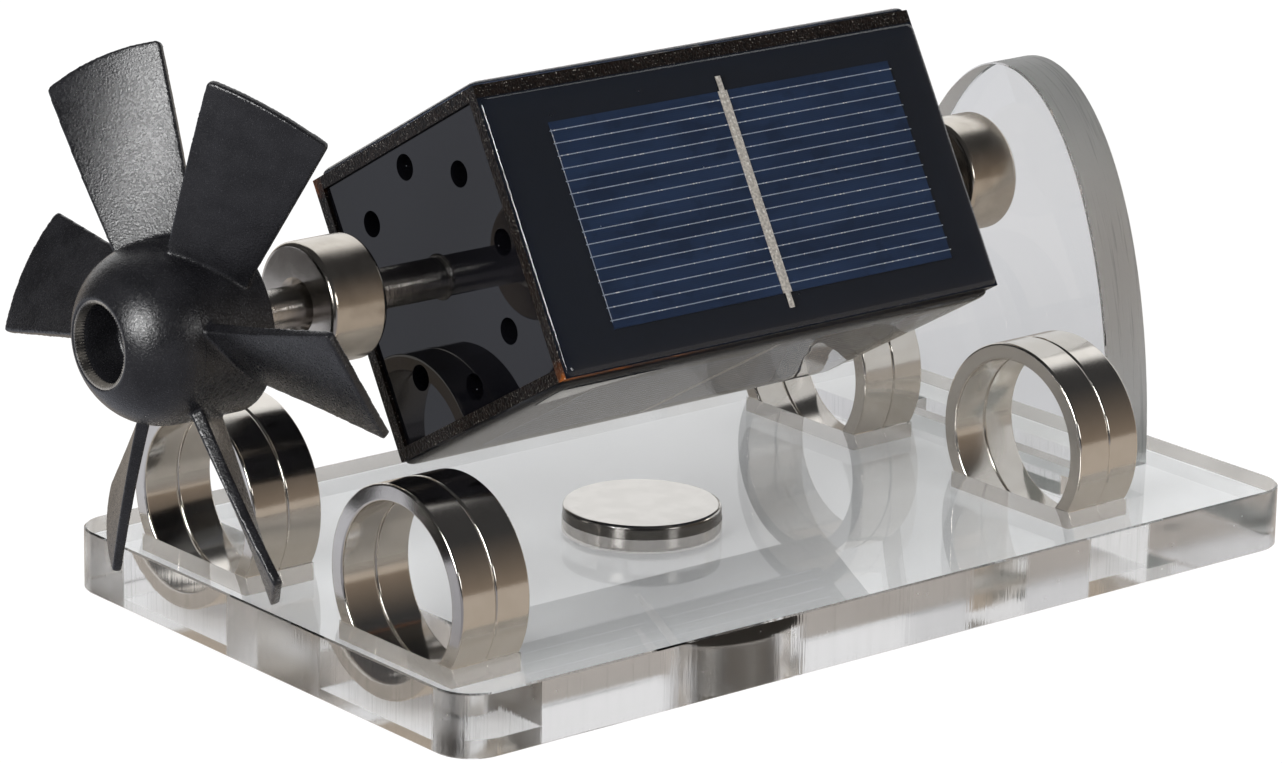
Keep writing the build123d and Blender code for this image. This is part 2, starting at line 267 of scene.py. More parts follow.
def turned(
    name: str, profile: Sequence[Span], sides: int, capped: bool = False
) -> bpy.types.Object:
    """Turn a profile about the rotor axis by extruding and sizing a circle.

    Args:
        name: Name of the piece.
        profile: Points (x, radius), in mm.
        sides: Corners of the circle.
        capped: Close both ends with a face; otherwise the last point meets the first.

    Returns:
        The closed piece.
    """
    first_x, first_radius = profile[0]
    clear_selection()
    bpy.ops.mesh.primitive_circle_add(
        vertices=sides,
        radius=first_radius * MM,
        location=(first_x * MM, 0, AXIS_HEIGHT * MM),
        rotation=(0, pi / 2, 0),
    )
    piece = named(name)
    with editing(piece, Select.EDGES):
        for (x, radius), (next_x, next_radius) in pairwise(profile):
            bpy.ops.mesh.extrude_region_move(
                TRANSFORM_OT_translate={"value": ((next_x - x) * MM, 0, 0)}
            )
            ratio = next_radius / radius
            centre = (next_x * MM, 0, AXIS_HEIGHT * MM)
            bpy.ops.transform.resize(value=(1, ratio, ratio), center_override=centre)
        if capped:
            bpy.ops.mesh.edge_face_add()
            bpy.ops.mesh.select_all(action="DESELECT")
            bpy.ops.object.mode_set(mode="OBJECT")
            for edge in piece.data.edges:
                edge.select = max(edge.vertices) < sides
            bpy.ops.object.mode_set(mode="EDIT")
            bpy.ops.mesh.edge_face_add()
    face_outwards(piece)
    return piece


# ------------------------------------------------------------------ node trees
class Graph:
    """Short calls that add and join the nodes of one tree."""

    def __init__(self, tree: bpy.types.NodeTree) -> None:
        """Keep the tree and empty it."""
        self.tree = tree
        tree.nodes.clear()

    def add(self, kind: str, **settings: object) -> bpy.types.Node:
        """Add a node and set its values.

        Args:
            kind: Node type.
            **settings: Values of the node.

        Returns:
            The node.
        """
        node = self.tree.nodes.new(kind)
        for setting, value in settings.items():
            setattr(node, setting, value)
        return node

    def put(self, socket: bpy.types.NodeSocket, value: object) -> None:
        """Give an input a value, or join it to an output.

        Args:
            socket: The input.
            value: A number, a colour or an output.
        """
        if isinstance(value, bpy.types.NodeSocket):
            self.tree.links.new(value, socket)
        elif isinstance(value, tuple) and socket.type == "RGBA":
            socket.default_value = (*value, 1.0)
        else:
            socket.default_value = value

    def math(self, operation: str, *values: object) -> bpy.types.NodeSocket:
        """Add a Math node.

        Args:
            operation: Math operation.
            *values: Its inputs, each a number or an output.

        Returns:
            The result.
        """
        node = self.add("ShaderNodeMath", operation=operation)
        for socket, value in zip(node.inputs, values):
            self.put(socket, value)
        return node.outputs[0]

    def plus(self, first: object, second: object) -> bpy.types.NodeSocket:
        """Add two numbers."""
        return self.math("ADD", first, second)

    def times(self, first: object, second: object) -> bpy.types.NodeSocket:
        """Multiply two numbers."""
        return self.math("MULTIPLY", first, second)

    def parts(self, vector: object) -> tuple[bpy.types.NodeSocket, ...]:
        """Split a vector into its parts along X, Y and Z.

        Args:
            vector: The vector.

        Returns:
            Its three parts.
        """
        node = self.add("ShaderNodeSeparateXYZ")
        self.put(node.inputs[0], vector)
        return tuple(node.outputs)

    def fit(
        self, value: object, low: float, high: float, to: Span = (0, 1)
    ) -> bpy.types.NodeSocket:
        """Map a value from low..high to a clamped range.

        Args:
            value: The output to map.
            low: Value that gives the first end.
            high: Value that gives the second end.
            to: The range it is mapped to.

        Returns:
            The mapped value.
        """
        node = self.add("ShaderNodeMapRange", interpolation_type="SMOOTHSTEP")
        for name, number in (
            ("Value", value),
            ("From Min", low),
            ("From Max", high),
            ("To Min", to[0]),
            ("To Max", to[1]),
        ):
            self.put(node.inputs[name], number)
        return node.outputs[0]

    def ramp(self, value: object, low: float, high: float) -> bpy.types.NodeSocket:
        """Map a value from low..high evenly to 0..1.

        Args:
            value: The output to map.
            low: Value that gives 0.
            high: Value that gives 1.

        Returns:
            The mapped value.
        """
        node = self.add("ShaderNodeMapRange", interpolation_type="LINEAR")
        for name, number in (("Value", value), ("From Min", low), ("From Max", high)):
            self.put(node.inputs[name], number)
        return node.outputs[0]

    def blend(self, share: object, first: object, second: object) -> bpy.types.NodeSocket:
        """Mix two colours.

        Args:
            share: Share of the second colour.
            first: First colour.
            second: Second colour.

        Returns:
            The mixed colour.
        """
        node = self.add("ShaderNodeMix", data_type="RGBA")
        factor, colours = node.inputs[0], node.inputs[6:8]  # the node's own numbering
        for socket, value in zip((factor, *colours), (share, first, second)):
            self.put(socket, value)
        return node.outputs[2]

    def between(self, share: object, first: object, second: object) -> bpy.types.NodeSocket:
        """Mix two numbers.

        Args:
            share: Share of the second number.
            first: First number.
            second: Second number.

        Returns:
            The mixed number.
        """
        node = self.add("ShaderNodeMix", data_type="FLOAT")
        factor, numbers = node.inputs[0], node.inputs[2:4]  # the node's own numbering
        for socket, value in zip((factor, *numbers), (share, first, second)):
            self.put(socket, value)
        return node.outputs[0]

    def noise(
        self, vector: object, scale: float = 1.0, detail: float = 2.0
    ) -> bpy.types.NodeSocket:
        """Add a noise pattern and return its strength.

        Args:
            vector: Where the pattern is looked up.
            scale: Its fineness.
            detail: How many finer patterns are laid over it.

        Returns:
            The strength, about 0.5 on average.
        """
        node = self.add("ShaderNodeTexNoise")
        self.put(node.inputs["Vector"], vector)
        node.inputs["Scale"].default_value = scale
        node.inputs["Detail"].default_value = detail
        return node.outputs[0]

    def mapped(
        self, vector: object, scale: Colour = (1, 1, 1), turn: Colour = (0, 0, 0)
    ) -> bpy.types.NodeSocket:
        """Turn a vector by angles in radians, then scale it.

        Args:
            vector: The vector.
            scale: Factor along each axis.
            turn: Angle about each axis.

        Returns:
            The new vector.
        """
        turned_vector = self.add("ShaderNodeMapping", vector_type="POINT")
        self.put(turned_vector.inputs["Vector"], vector)
        turned_vector.inputs["Rotation"].default_value = turn
        scaled = self.add("ShaderNodeMapping", vector_type="POINT")
        self.put(scaled.inputs["Vector"], turned_vector.outputs[0])
        scaled.inputs["Scale"].default_value = scale
        return scaled.outputs[0]

    def place(self, turn: Colour = (0, 0, 0)) -> bpy.types.NodeSocket:
        """Object coordinates in millimetres, turned by angles in radians."""
        return self.mapped(self.add("ShaderNodeTexCoord").outputs["Object"], (PER_MM,) * 3, turn)

    def facing(self, turn: Colour = (0, 0, 0)) -> tuple[bpy.types.NodeSocket, ...]:
        """Parts of the surface normal along X, Y and Z, after a turn in radians."""
        normal = self.add("ShaderNodeTexCoord").outputs["Normal"]
        return self.parts(self.mapped(normal, (1, 1, 1), turn))

    def group(self, tree: bpy.types.NodeTree, **values: object) -> bpy.types.Node:
        """Place a shared effect and set its inputs.

        Args:
            tree: The node group.
            **values: Its inputs by name, with spaces written as underscores.

        Returns:
            The group node.
        """
        node = self.add("ShaderNodeGroup", node_tree=tree)
        for name, value in values.items():
            self.put(node.inputs[name.replace("_", " ")], value)
        return node

    def grained(
        self, effects: Effects, place: object, fineness: float
    ) -> tuple[bpy.types.NodeSocket, bpy.types.NodeSocket]:
        """Fine grain and slow drift of a surface.

        Args:
            effects: The shared effects.
            place: Place on the surface, in mm.
            fineness: Grains per mm.

        Returns:
            The grain and the drift.
        """
        outputs = self.group(effects.grain, Place=place, Fineness=fineness).outputs
        return outputs["Grain"], outputs["Drift"]

    def scattered(
        self, effects: Effects, place: object, flecks: Flecks
    ) -> tuple[bpy.types.NodeSocket, bpy.types.NodeSocket]:
        """Flecks strewn over a surface.

        Args:
            effects: The shared effects.
            place: Place on the surface, in mm.
            flecks: How many there are.

        Returns:
            Where they are, and a tone for each.
        """
        outputs = self.group(
            effects.flecks,
            Place=place,
            Number=flecks.per_mm,
            Size=flecks.size,
            Share=flecks.share,
        ).outputs
        return outputs["Mask"], outputs["Tone"]

    def smudged(self, effects: Effects, place: object, spread: float) -> bpy.types.NodeSocket:
        """Where a surface was handled, in smudges spread over so many mm."""
        return self.group(effects.smudges, Place=place, Spread=spread).outputs[0]

    def bump(self, height: object, relief: Relief) -> bpy.types.NodeSocket:
        """Bump from a height between 0 and 1.

        Args:
            height: The height.
            relief: How deep it goes.

        Returns:
            The normal.
        """
        node = self.add("ShaderNodeBump")
        self.put(node.inputs["Height"], height)
        node.inputs["Strength"].default_value = relief.strength
        node.inputs["Distance"].default_value = relief.depth * MM
        return node.outputs[0]

    def surface(self, **values: object) -> bpy.types.Node:
        """Add the Principled shader and the material output.

        Args:
            **values: Inputs by name, with spaces written as underscores.

        Returns:
            The Principled node.
        """
        shader = self.add("ShaderNodeBsdfPrincipled")
        for name, value in values.items():
            self.put(shader.inputs[name.replace("_", " ")], value)
        output = self.add("ShaderNodeOutputMaterial")
        self.put(output.inputs["Surface"], shader.outputs[0])
        return shader

    def let_light_through(self, shader: bpy.types.Node, tint: Colour) -> None:
        """Let lamps shine through a clear shader instead of casting a dark shadow.

        Args:
            shader: The clear shader.
            tint: Colour of the light that comes through.
        """
        clear = self.add("ShaderNodeBsdfTransparent")
        self.put(clear.inputs["Color"], tint)
        rays = self.add("ShaderNodeLightPath")
        mix = self.add("ShaderNodeMixShader")
        self.put(mix.inputs[0], rays.outputs["Is Shadow Ray"])
        self.put(mix.inputs[1], shader.outputs[0])
        self.put(mix.inputs[2], clear.outputs[0])
        output = next(n for n in self.tree.nodes if n.type == "OUTPUT_MATERIAL")
        self.put(output.inputs["Surface"], mix.outputs[0])


class Effects:
    """Node groups that several finishes share, and the materials made so far, each once."""

    GRAIN_DETAIL = 3
    GRAIN_SPAN: Span = (0.3, 0.7)
    DRIFT_FINENESS = 0.06  # beside that of the grain
    DRIFT_SPAN: Span = (0.35, 0.65)
    SMUDGE_DETAIL = 4
    SMUDGE_DISTORTION = 0.8
    SMUDGE_SPAN: Span = (0.48, 0.72)

    def __init__(self) -> None:
        """Build every group."""
        self.made: dict[Finish, bpy.types.Material] = {}
        self.grain = self._grain()
        self.flecks = self._flecks()
        self.smudges = self._smudges()

    @staticmethod
    def _start(
        name: str, inputs: dict[str, str], outputs: dict[str, str]
    ) -> tuple[Graph, bpy.types.NodeOutputs, bpy.types.NodeInputs]:
        """Make an empty group with named sockets.

        Args:
            name: Name of the group.
            inputs: Socket type of each input.
            outputs: Socket type of each output.

        Returns:
            The graph, what is given to it, and what it has to be given.
        """
        tree = bpy.data.node_groups.new(name, "ShaderNodeTree")
        for label, kind in inputs.items():
            tree.interface.new_socket(label, in_out="INPUT", socket_type=kind)
        for label, kind in outputs.items():
            tree.interface.new_socket(label, in_out="OUTPUT", socket_type=kind)
        graph = Graph(tree)
        return graph, graph.add("NodeGroupInput").outputs, graph.add("NodeGroupOutput").inputs

    def _grain(self) -> bpy.types.NodeTree:
        """Fine grain and slow variation of a surface.

        Returns:
            The node group.
        """
        graph, given, out = self._start(
            "surface_grain",
            {"Place": "NodeSocketVector", "Fineness": "NodeSocketFloat"},
            {"Grain": "NodeSocketFloat", "Drift": "NodeSocketFloat"},
        )
        fine = graph.add("ShaderNodeTexNoise")
        graph.put(fine.inputs["Vector"], given["Place"])
        graph.put(fine.inputs["Scale"], given["Fineness"])
        fine.inputs["Detail"].default_value = self.GRAIN_DETAIL
        slow = graph.add("ShaderNodeTexNoise")
        graph.put(slow.inputs["Vector"], given["Place"])
        graph.put(slow.inputs["Scale"], graph.times(given["Fineness"], self.DRIFT_FINENESS))
        graph.put(out["Grain"], graph.fit(fine.outputs[0], *self.GRAIN_SPAN))
        graph.put(out["Drift"], graph.fit(slow.outputs[0], *self.DRIFT_SPAN))
        return graph.tree

    def _flecks(self) -> bpy.types.NodeTree:
        """Scattered small flecks, each with a brightness of its own.

        Returns:
            The node group.
        """
        graph, given, out = self._start(
            "scattered_flecks",
            {
                "Place": "NodeSocketVector",
                "Number": "NodeSocketFloat",
                "Size": "NodeSocketFloat",
                "Share": "NodeSocketFloat",
            },
            {"Mask": "NodeSocketFloat", "Tone": "NodeSocketFloat"},
        )
        cells = graph.add("ShaderNodeTexVoronoi", feature="F1")
        graph.put(cells.inputs["Vector"], given["Place"])
        graph.put(cells.inputs["Scale"], given["Number"])
        parts = graph.add("ShaderNodeSeparateColor")
        graph.put(parts.inputs[0], cells.outputs["Color"])
        near = graph.math("LESS_THAN", cells.outputs["Distance"], given["Size"])
        chosen = graph.math("LESS_THAN", parts.outputs[0], given["Share"])
        graph.put(out["Mask"], graph.times(near, chosen))
        graph.put(out["Tone"], parts.outputs[1])
        return graph.tree

    def _smudges(self) -> bpy.types.NodeTree:
        """Faint finger smudges and wipe marks, as a mask.

        Returns:
            The node group.
        """
        graph, given, out = self._start(
            "handling_smudges",
            {"Place": "NodeSocketVector", "Spread": "NodeSocketFloat"},
            {"Mask": "NodeSocketFloat"},
        )
        cloud = graph.add("ShaderNodeTexNoise")
        graph.put(cloud.inputs["Vector"], given["Place"])
        graph.put(cloud.inputs["Scale"], graph.math("DIVIDE", 1.0, given["Spread"]))
        cloud.inputs["Detail"].default_value = self.SMUDGE_DETAIL
        cloud.inputs["Distortion"].default_value = self.SMUDGE_DISTORTION
        graph.put(out["Mask"], graph.fit(cloud.outputs[0], *self.SMUDGE_SPAN))
        return graph.tree


class Finish:
    """A finish: a name and a way to make its material."""

    name: str

    def draw(self, graph: Graph, effects: Effects) -> None:
        """Draw the nodes of the finish."""
        raise NotImplementedError

    def material(self, effects: Effects) -> bpy.types.Material:
        """The material of the finish, made the first time it is asked for.

        Args:
            effects: The shared effects, which keep what is made.

        Returns:
            The material.
        """
        if self not in effects.made:
            made = bpy.data.materials.new(f"{self.name}_finish")
            made.use_nodes = True
            self.draw(Graph(made.node_tree), effects)
            effects.made[self] = made
        return effects.made[self]


@dataclass(frozen=True)
class ClearAcrylic(Finish):
    """Cast acrylic with polished faces and sawn edges."""

    name: str = "clear_acrylic"
    thickness_axis: int = 2  # along X 0, along Z 2
    tint: Colour = (0.985, 0.992, 0.988)
    edge_tint: Colour = (1.0, 1.0, 1.0)
    edge_dark: Colour = (0.8, 0.81, 0.8)
    edge_roughness: float = 0.07
    saw_pitch: float = 3.6  # marks per mm along an edge
    saw_length: float = 0.06  # marks per mm across the edge
    saw_tones: Span = (0.52, 0.7)  # of the marks, from light to dark
    saw_relief: Relief = Relief(0.35, 0.06)
    smudge_spread: float = 14.0  # mm
    smudge_roughness: float = 0.012
    dust: Flecks = Flecks(0.55, 0.05, 0.5)
    dust_roughness: float = 0.25
    refraction: float = 1.49
    shadow_tint: Colour = (0.93, 0.94, 0.935)

    def draw(self, graph: Graph, effects: Effects) -> None:
        """Draw polished faces, sawn edges and light through them.

        Args:
            graph: Nodes of the material.
            effects: The shared effects.
        """
        place = graph.place()
        stretch = [self.saw_pitch] * 3
        stretch[self.thickness_axis] = self.saw_length
        marks = graph.noise(graph.mapped(place, tuple(stretch)), detail=3.0)
        across = graph.math("ABSOLUTE", graph.facing()[self.thickness_axis])
        edge = graph.fit(across, *FACE_TO_EDGE)
        smudge = graph.smudged(effects, place, self.smudge_spread)
        dust, _ = graph.scattered(effects, place, self.dust)
        soiled = graph.plus(
            graph.times(smudge, self.smudge_roughness), graph.times(dust, self.dust_roughness)
        )
        sawn = graph.blend(graph.fit(marks, *self.saw_tones), self.edge_tint, self.edge_dark)
        shader = graph.surface(
            Base_Color=graph.blend(edge, self.tint, sawn),
            Roughness=graph.plus(graph.times(edge, self.edge_roughness), soiled),
            Transmission_Weight=1.0,
            IOR=self.refraction,
            Normal=graph.bump(graph.times(marks, edge), self.saw_relief),
        )
        graph.let_light_through(shader, self.shadow_tint)


@dataclass(frozen=True)
class Nickel(Finish):
    """Nickel plate over ground magnet stock."""

    name: str = "nickel_plate"
    light: Colour = (0.80, 0.765, 0.715)
    dark: Colour = (0.77, 0.735, 0.68)
    grinding_axis: int = 0  # the marks run round this axis
    grinding_pitch: float = 9.0  # marks per mm along the axis
    grinding_length: float = 0.35  # marks per mm round it
    grain_fineness: float = 5.5
    grain_roughness: float = 0.05
    grain_height: float = 0.7  # beside the grinding marks
    roughness: float = 0.1
    smudge_spread: float = 6.0  # mm
    smudge_roughness: float = 0.03
    relief: Relief = Relief(0.4, 0.004)
    painted_side_shade: float = 1.0  # painted shade on the side walls that show through the clear base, as a share of the dark colour; 1.0 for none

    def draw(self, graph: Graph, effects: Effects) -> None:
        """Draw grinding marks, plating grain, smudges and painted shade on the side walls.

        Args:
            graph: Nodes of the material.
            effects: The shared effects.
        """
        stretch = [self.grinding_length] * 3
        stretch[self.grinding_axis] = self.grinding_pitch
        place = graph.place()
        lines = graph.noise(graph.mapped(place, tuple(stretch)))
        grain, drift = graph.grained(effects, place, self.grain_fineness)
        smudge = graph.smudged(effects, place, self.smudge_spread)
        tone = graph.blend(drift, self.light, self.dark)
        # Painted shade: the side walls are darkened in the colour
        if self.painted_side_shade < 1.0:
            across = graph.math("ABSOLUTE", graph.facing()[self.grinding_axis])
            shade = tuple(self.painted_side_shade * channel for channel in self.dark)
            tone = graph.blend(graph.fit(across, *FACE_TO_EDGE), tone, shade)
        graph.surface(
            Base_Color=tone,
            Metallic=1.0,
            Roughness=graph.plus(
                graph.math("MULTIPLY_ADD", grain, self.grain_roughness, self.roughness),
                graph.times(smudge, self.smudge_roughness),
            ),
            Normal=graph.bump(
                graph.plus(graph.times(grain, self.grain_height), lines), self.relief
            ),
        )


@dataclass(frozen=True)
class TurnedSteel(Finish):
    """Drawn and turned steel of the shaft."""

    name: str = "shaft_steel"
    light: Colour = (0.72, 0.69, 0.65)
    dark: Colour = (0.55, 0.52, 0.49)
    roughness: float = 0.2
    mark_roughness: float = 0.03
    mark_span: Span = (0.3, 0.7)
    marks_per_mm: float = 30.0
    marks_round: float = 0.4  # per mm round the shaft
    relief: Relief = Relief(1.0, 0.013)
    grain_fineness: float = 4.0

    def draw(self, graph: Graph, effects: Effects) -> None:
        """Draw fine turning marks along the shaft.

        Args:
            graph: Nodes of the material.
            effects: The shared effects.
        """
        place = graph.place()
        pitch = (self.marks_per_mm, self.marks_round, self.marks_round)
        marks = graph.noise(graph.mapped(place, pitch), detail=1.0)
        _, drift = graph.grained(effects, place, self.grain_fineness)
        rougher = self.roughness + self.mark_roughness
        graph.surface(
            Base_Color=graph.blend(drift, self.light, self.dark),
            Metallic=1.0,
            Roughness=graph.fit(marks, *self.mark_span, (self.roughness, rougher)),
            Normal=graph.bump(marks, self.relief),
        )


@dataclass(frozen=True)
class BlackAcrylic(Finish):
    """Mirror-gloss black sheet with a few dust specks."""

    name: str = "black_acrylic"
    colour: Colour = (0.006, 0.006, 0.008)
    roughness: float = 0.012
    smudge_spread: float = 5.0  # mm
    smudge_roughness: float = 0.02
    dust: Flecks = Flecks(1.1, 0.10, 0.16)
    dust_colour: Colour = (0.32, 0.33, 0.35)
    dust_roughness: float = 0.5
    refraction: float = 1.49

    def draw(self, graph: Graph, effects: Effects) -> None:
        """Draw gloss, smudges and dust.

        Args:
            graph: Nodes of the material.
            effects: The shared effects.
        """
        place = graph.place()
        dust, _ = graph.scattered(effects, place, self.dust)
        smudge = graph.smudged(effects, place, self.smudge_spread)
        graph.surface(
            Base_Color=graph.blend(dust, self.colour, self.dust_colour),
            Roughness=graph.plus(
                graph.math("MULTIPLY_ADD", smudge, self.smudge_roughness, self.roughness),
                graph.times(dust, self.dust_roughness),
            ),
            IOR=self.refraction,
        )


@dataclass(frozen=True)
class CircuitBoard(Finish):
    """Board with a black face and a sawn, resin-soaked edge with painted glints."""

    name: str
    turn: float  # radians about X that lay the panel flat
    stain: float = 0.0  # how far the lower long edge is soaked and stained near the fan
    face: Colour = (0.006, 0.0085, 0.0145)
    face_roughness: float = 0.35
    face_to_side: Span = (0.6, 0.4)
    edge: Colour = (0.013, 0.008, 0.006)
    edge_dark: Colour = (0.0025, 0.0022, 0.0022)
    edge_roughness: float = 0.3
    edge_coat: float = 0.12
    coat_roughness: float = 0.12
    grain_fineness: float = 2.6
    relief: Relief = Relief(0.7, 0.1)
    # Painted glints: bright flecks put into the edge's colour, strongest along the outer rim
    painted_glint: Colour = (0.75, 0.7, 0.62)
    painted_glints: Flecks = Flecks(4.6, 0.3, 0.5)
    painted_glint_contrast: float = 3.0
    rim_painted_glint: Span = (0.35, 1.0)  # strength of the painted glints below the outer rim and on it
    rim_depth: Span = (0.45, 0.2)  # mm under the outer face, where the rim begins and is full
    amber: Colour = (0.30, 0.085, 0.012)
    amber_spread: float = 0.3  # patches per mm
    amber_share: Span = (0.5, 0.64)
    stained: Colour = (0.075, 0.026, 0.01)
    stain_depth: float = 2.0  # mm in from the lower long edge
    stain_reach: Span = (-12.0, -30.0)  # mm along X, from clean to stained
    shine: float = 0.12  # the resin on the board takes most of its own shine away
    top: float = 18.3  # mm from the axis to the outer face
    half_width: float = 17.5  # mm, from the middle of the drum to the lower long edge

    def draw(self, graph: Graph, effects: Effects) -> None:
        """Draw the plain face and the edge with its painted glints.

        Args:
            graph: Nodes of the material.
            effects: The shared effects.
        """
        turn = (self.turn, 0, 0)
        place = graph.place()
        side = graph.fit(graph.facing(turn)[2], *self.face_to_side)
        grain, _ = graph.grained(effects, place, self.grain_fineness)
        along, across, height = graph.parts(graph.place(turn))
        axis = Matrix.Rotation(self.turn, 3, "X") @ Vector((0, 0, AXIS_HEIGHT))
        level = axis.z + self.top
        rim = graph.fit(height, level - self.rim_depth[0], level - self.rim_depth[1])
        # Painted glints in the edge's colour
        painted_glints, tone = graph.scattered(effects, place, self.painted_glints)
        shine = graph.times(painted_glints, graph.math("POWER", tone, self.painted_glint_contrast))
        shine = graph.times(shine, graph.fit(rim, 0, 1, self.rim_painted_glint))
        lowest = axis.y - self.half_width
        lower = graph.times(
            graph.fit(across, lowest + self.stain_depth, lowest),
            graph.fit(along, *self.stain_reach, (0, self.stain)),
        )
        patches = graph.fit(graph.noise(place, self.amber_spread, detail=3.0), *self.amber_share)
        brown = graph.blend(grain, self.edge_dark, self.edge)
        brown = graph.blend(lower, brown, self.stained)
        brown = graph.blend(graph.times(patches, lower), brown, self.amber)
        brown = graph.blend(shine, brown, self.painted_glint)
        graph.surface(
            Base_Color=graph.blend(side, self.face, brown),
            Roughness=graph.fit(side, 0, 1, (self.face_roughness, self.edge_roughness)),
            Specular_IOR_Level=self.shine,
            Coat_Weight=graph.times(side, self.edge_coat),
            Coat_Roughness=self.coat_roughness,
            Normal=graph.bump(graph.times(grain, side), self.relief),
        )


@dataclass(frozen=True)
class SiliconCell(Finish):
    """Blue silicon with very fine lines along the cell."""

    name: str
    turn: float  # radians about X that lay the panel flat
    light: Colour = (0.014, 0.031, 0.076)
    dark: Colour = (0.007, 0.017, 0.044)
    roughness: Span = (0.38, 0.5)
    shine: float = 0.12
    line_pitch: float = 0.27  # mm
    line_tone: float = 0.10
    line_relief: Relief = Relief(0.12, 0.01)
    drift: Colour = (0.05, 0.22, 0.22)  # changes of tone per mm, along and across the cell
    drift_span: Span = (0.32, 0.68)
    drift_tone: Span = (0.15, 0.85)
    stains: Colour = (0.3, 0.4, 0.4)  # stains per mm
    stain_share: Span = (0.54, 0.66)
    stain_tone: float = 0.4

    def draw(self, graph: Graph, effects: Effects) -> None:
        """Draw fine lines, slow change of tone and faint stains.

        Args:
            graph: Nodes of the material.
            effects: The shared effects.
        """
        place = graph.place((self.turn, 0, 0))
        across = graph.parts(place)[1]
        wave = graph.math("SINE", graph.times(across, 2 * pi / self.line_pitch))
        slow = graph.noise(graph.mapped(place, self.drift), detail=3.0)
        stains = graph.noise(graph.mapped(place, self.stains), detail=4.0)
        stain = graph.fit(stains, *self.stain_share)
        tone = graph.plus(
            graph.fit(slow, *self.drift_span, self.drift_tone),
            graph.times(wave, self.line_tone),
        )
        tone = graph.math("SUBTRACT", tone, graph.times(stain, self.stain_tone))
        graph.surface(
            Base_Color=graph.blend(tone, self.dark, self.light),
            Roughness=graph.fit(wave, -1, 1, self.roughness),
            Specular_IOR_Level=self.shine,
            Normal=graph.bump(wave, self.line_relief),
        )


@dataclass(frozen=True)
class Silver(Finish):
    """Bare bright metal with flecks: the ribbon, the grid lines and the solder."""

    name: str
    light: Colour = (0.78, 0.73, 0.66)
    dark: Colour = (0.34, 0.31, 0.28)
    roughness: float = 0.32
    metal: float = 0.85
    drift_roughness: float = 0.15
    grain_fineness: float = 3.0
    grain_tone: float = 0.7
    flecks: Flecks = Flecks(2.2, 0.34, 0.4)
    fleck_colour: Colour = (0.93, 0.9, 0.85)
    fleck_share: float = 0.8
    relief: Relief = Relief(0.6, 0.05)

    def draw(self, graph: Graph, effects: Effects) -> None:
        """Draw lumpy bright metal.

        Args:
            graph: Nodes of the material.
            effects: The shared effects.
        """
        place = graph.place()
        grain, drift = graph.grained(effects, place, self.grain_fineness)
        flecks, _ = graph.scattered(effects, place, self.flecks)
        tone = graph.blend(graph.times(grain, self.grain_tone), self.light, self.dark)
        rougher = self.roughness + self.drift_roughness
        graph.surface(
            Base_Color=graph.blend(
                graph.times(flecks, self.fleck_share), tone, self.fleck_colour
            ),
            Metallic=self.metal,
            Roughness=graph.fit(drift, 0, 1, (self.roughness, rougher)),
            Normal=graph.bump(grain, self.relief),
        )


@dataclass(frozen=True)
class ClearResin(Finish):
    """Poured clear resin with a nearly even surface."""

    name: str = "clear_resin"
    tint: Colour = (0.97, 0.975, 0.97)
    roughness: float = 0.015
    waves_per_mm: float = 0.12
    wave_relief: Relief = Relief(0.25, 0.1)
    dust: Flecks = Flecks(0.5, 0.05, 0.12)
    dust_roughness: float = 0.3
    refraction: float = 1.5
    shadow_tint: Colour = (0.92, 0.92, 0.915)

    def draw(self, graph: Graph, effects: Effects) -> None:
        """Draw a liquid-smooth surface with slow waves and a few specks.

        Args:
            graph: Nodes of the material.
            effects: The shared effects.
        """
        place = graph.place()
        waves = graph.noise(place, self.waves_per_mm, detail=1.0)
        dust, _ = graph.scattered(effects, place, self.dust)
        shader = graph.surface(
            Base_Color=self.tint,
            Roughness=graph.math("MULTIPLY_ADD", dust, self.dust_roughness, self.roughness),
            Transmission_Weight=1.0,
            IOR=self.refraction,
            Normal=graph.bump(waves, self.wave_relief),
        )
        graph.let_light_through(shader, self.shadow_tint)


@dataclass(frozen=True)
class SetGlue(Finish):
    """Set clear glue, a little milky."""

    name: str = "set_glue"
    tint: Colour = (0.62, 0.6, 0.57)
    cloudy: Colour = (0.5, 0.48, 0.45)
    roughness: Span = (0.06, 0.12)
    grain_fineness: float = 2.0
    relief: Relief = Relief(0.3, 0.05)
    refraction: float = 1.48

    def draw(self, graph: Graph, effects: Effects) -> None:
        """Draw cloudy glue.

        Args:
            graph: Nodes of the material.
            effects: The shared effects.
        """
        grain, drift = graph.grained(effects, graph.place(), self.grain_fineness)
        graph.surface(
            Base_Color=graph.blend(drift, self.tint, self.cloudy),
            Roughness=graph.fit(grain, 0, 1, self.roughness),
            Transmission_Weight=1.0,
            IOR=self.refraction,
            Normal=graph.bump(grain, self.relief),
        )


@dataclass(frozen=True)
class Enamelled(Finish):
    """Enamelled copper wire laid in turns side by side."""

    name: str
    turn: float = 0.0  # radians about X that lay the turns of wire flat
    light: Colour = (0.62, 0.25, 0.1)
    dark: Colour = (0.3, 0.1, 0.035)
    roughness: Span = (0.25, 0.4)
    metal: float = 0.8
    grain_fineness: float = 1.5
    wire: float = 0.3  # mm
    wire_tone: Span = (-0.25, 0.4)  # change of tone across a wire, and the mean tone
    relief: Relief = Relief(0.6, 0.05)

    def draw(self, graph: Graph, effects: Effects) -> None:
        """Draw rows of wire.

        Args:
            graph: Nodes of the material.
            effects: The shared effects.
        """
        height = graph.parts(graph.place((self.turn, 0, 0)))[2]
        rows = graph.math("SINE", graph.times(height, 2 * pi / self.wire))
        grain, _ = graph.grained(effects, graph.place(), self.grain_fineness)
        graph.surface(
            Base_Color=graph.blend(
                graph.math("MULTIPLY_ADD", rows, *self.wire_tone), self.light, self.dark
            ),
            Metallic=self.metal,
            Roughness=graph.fit(grain, 0, 1, self.roughness),
            Normal=graph.bump(rows, self.relief),
        )


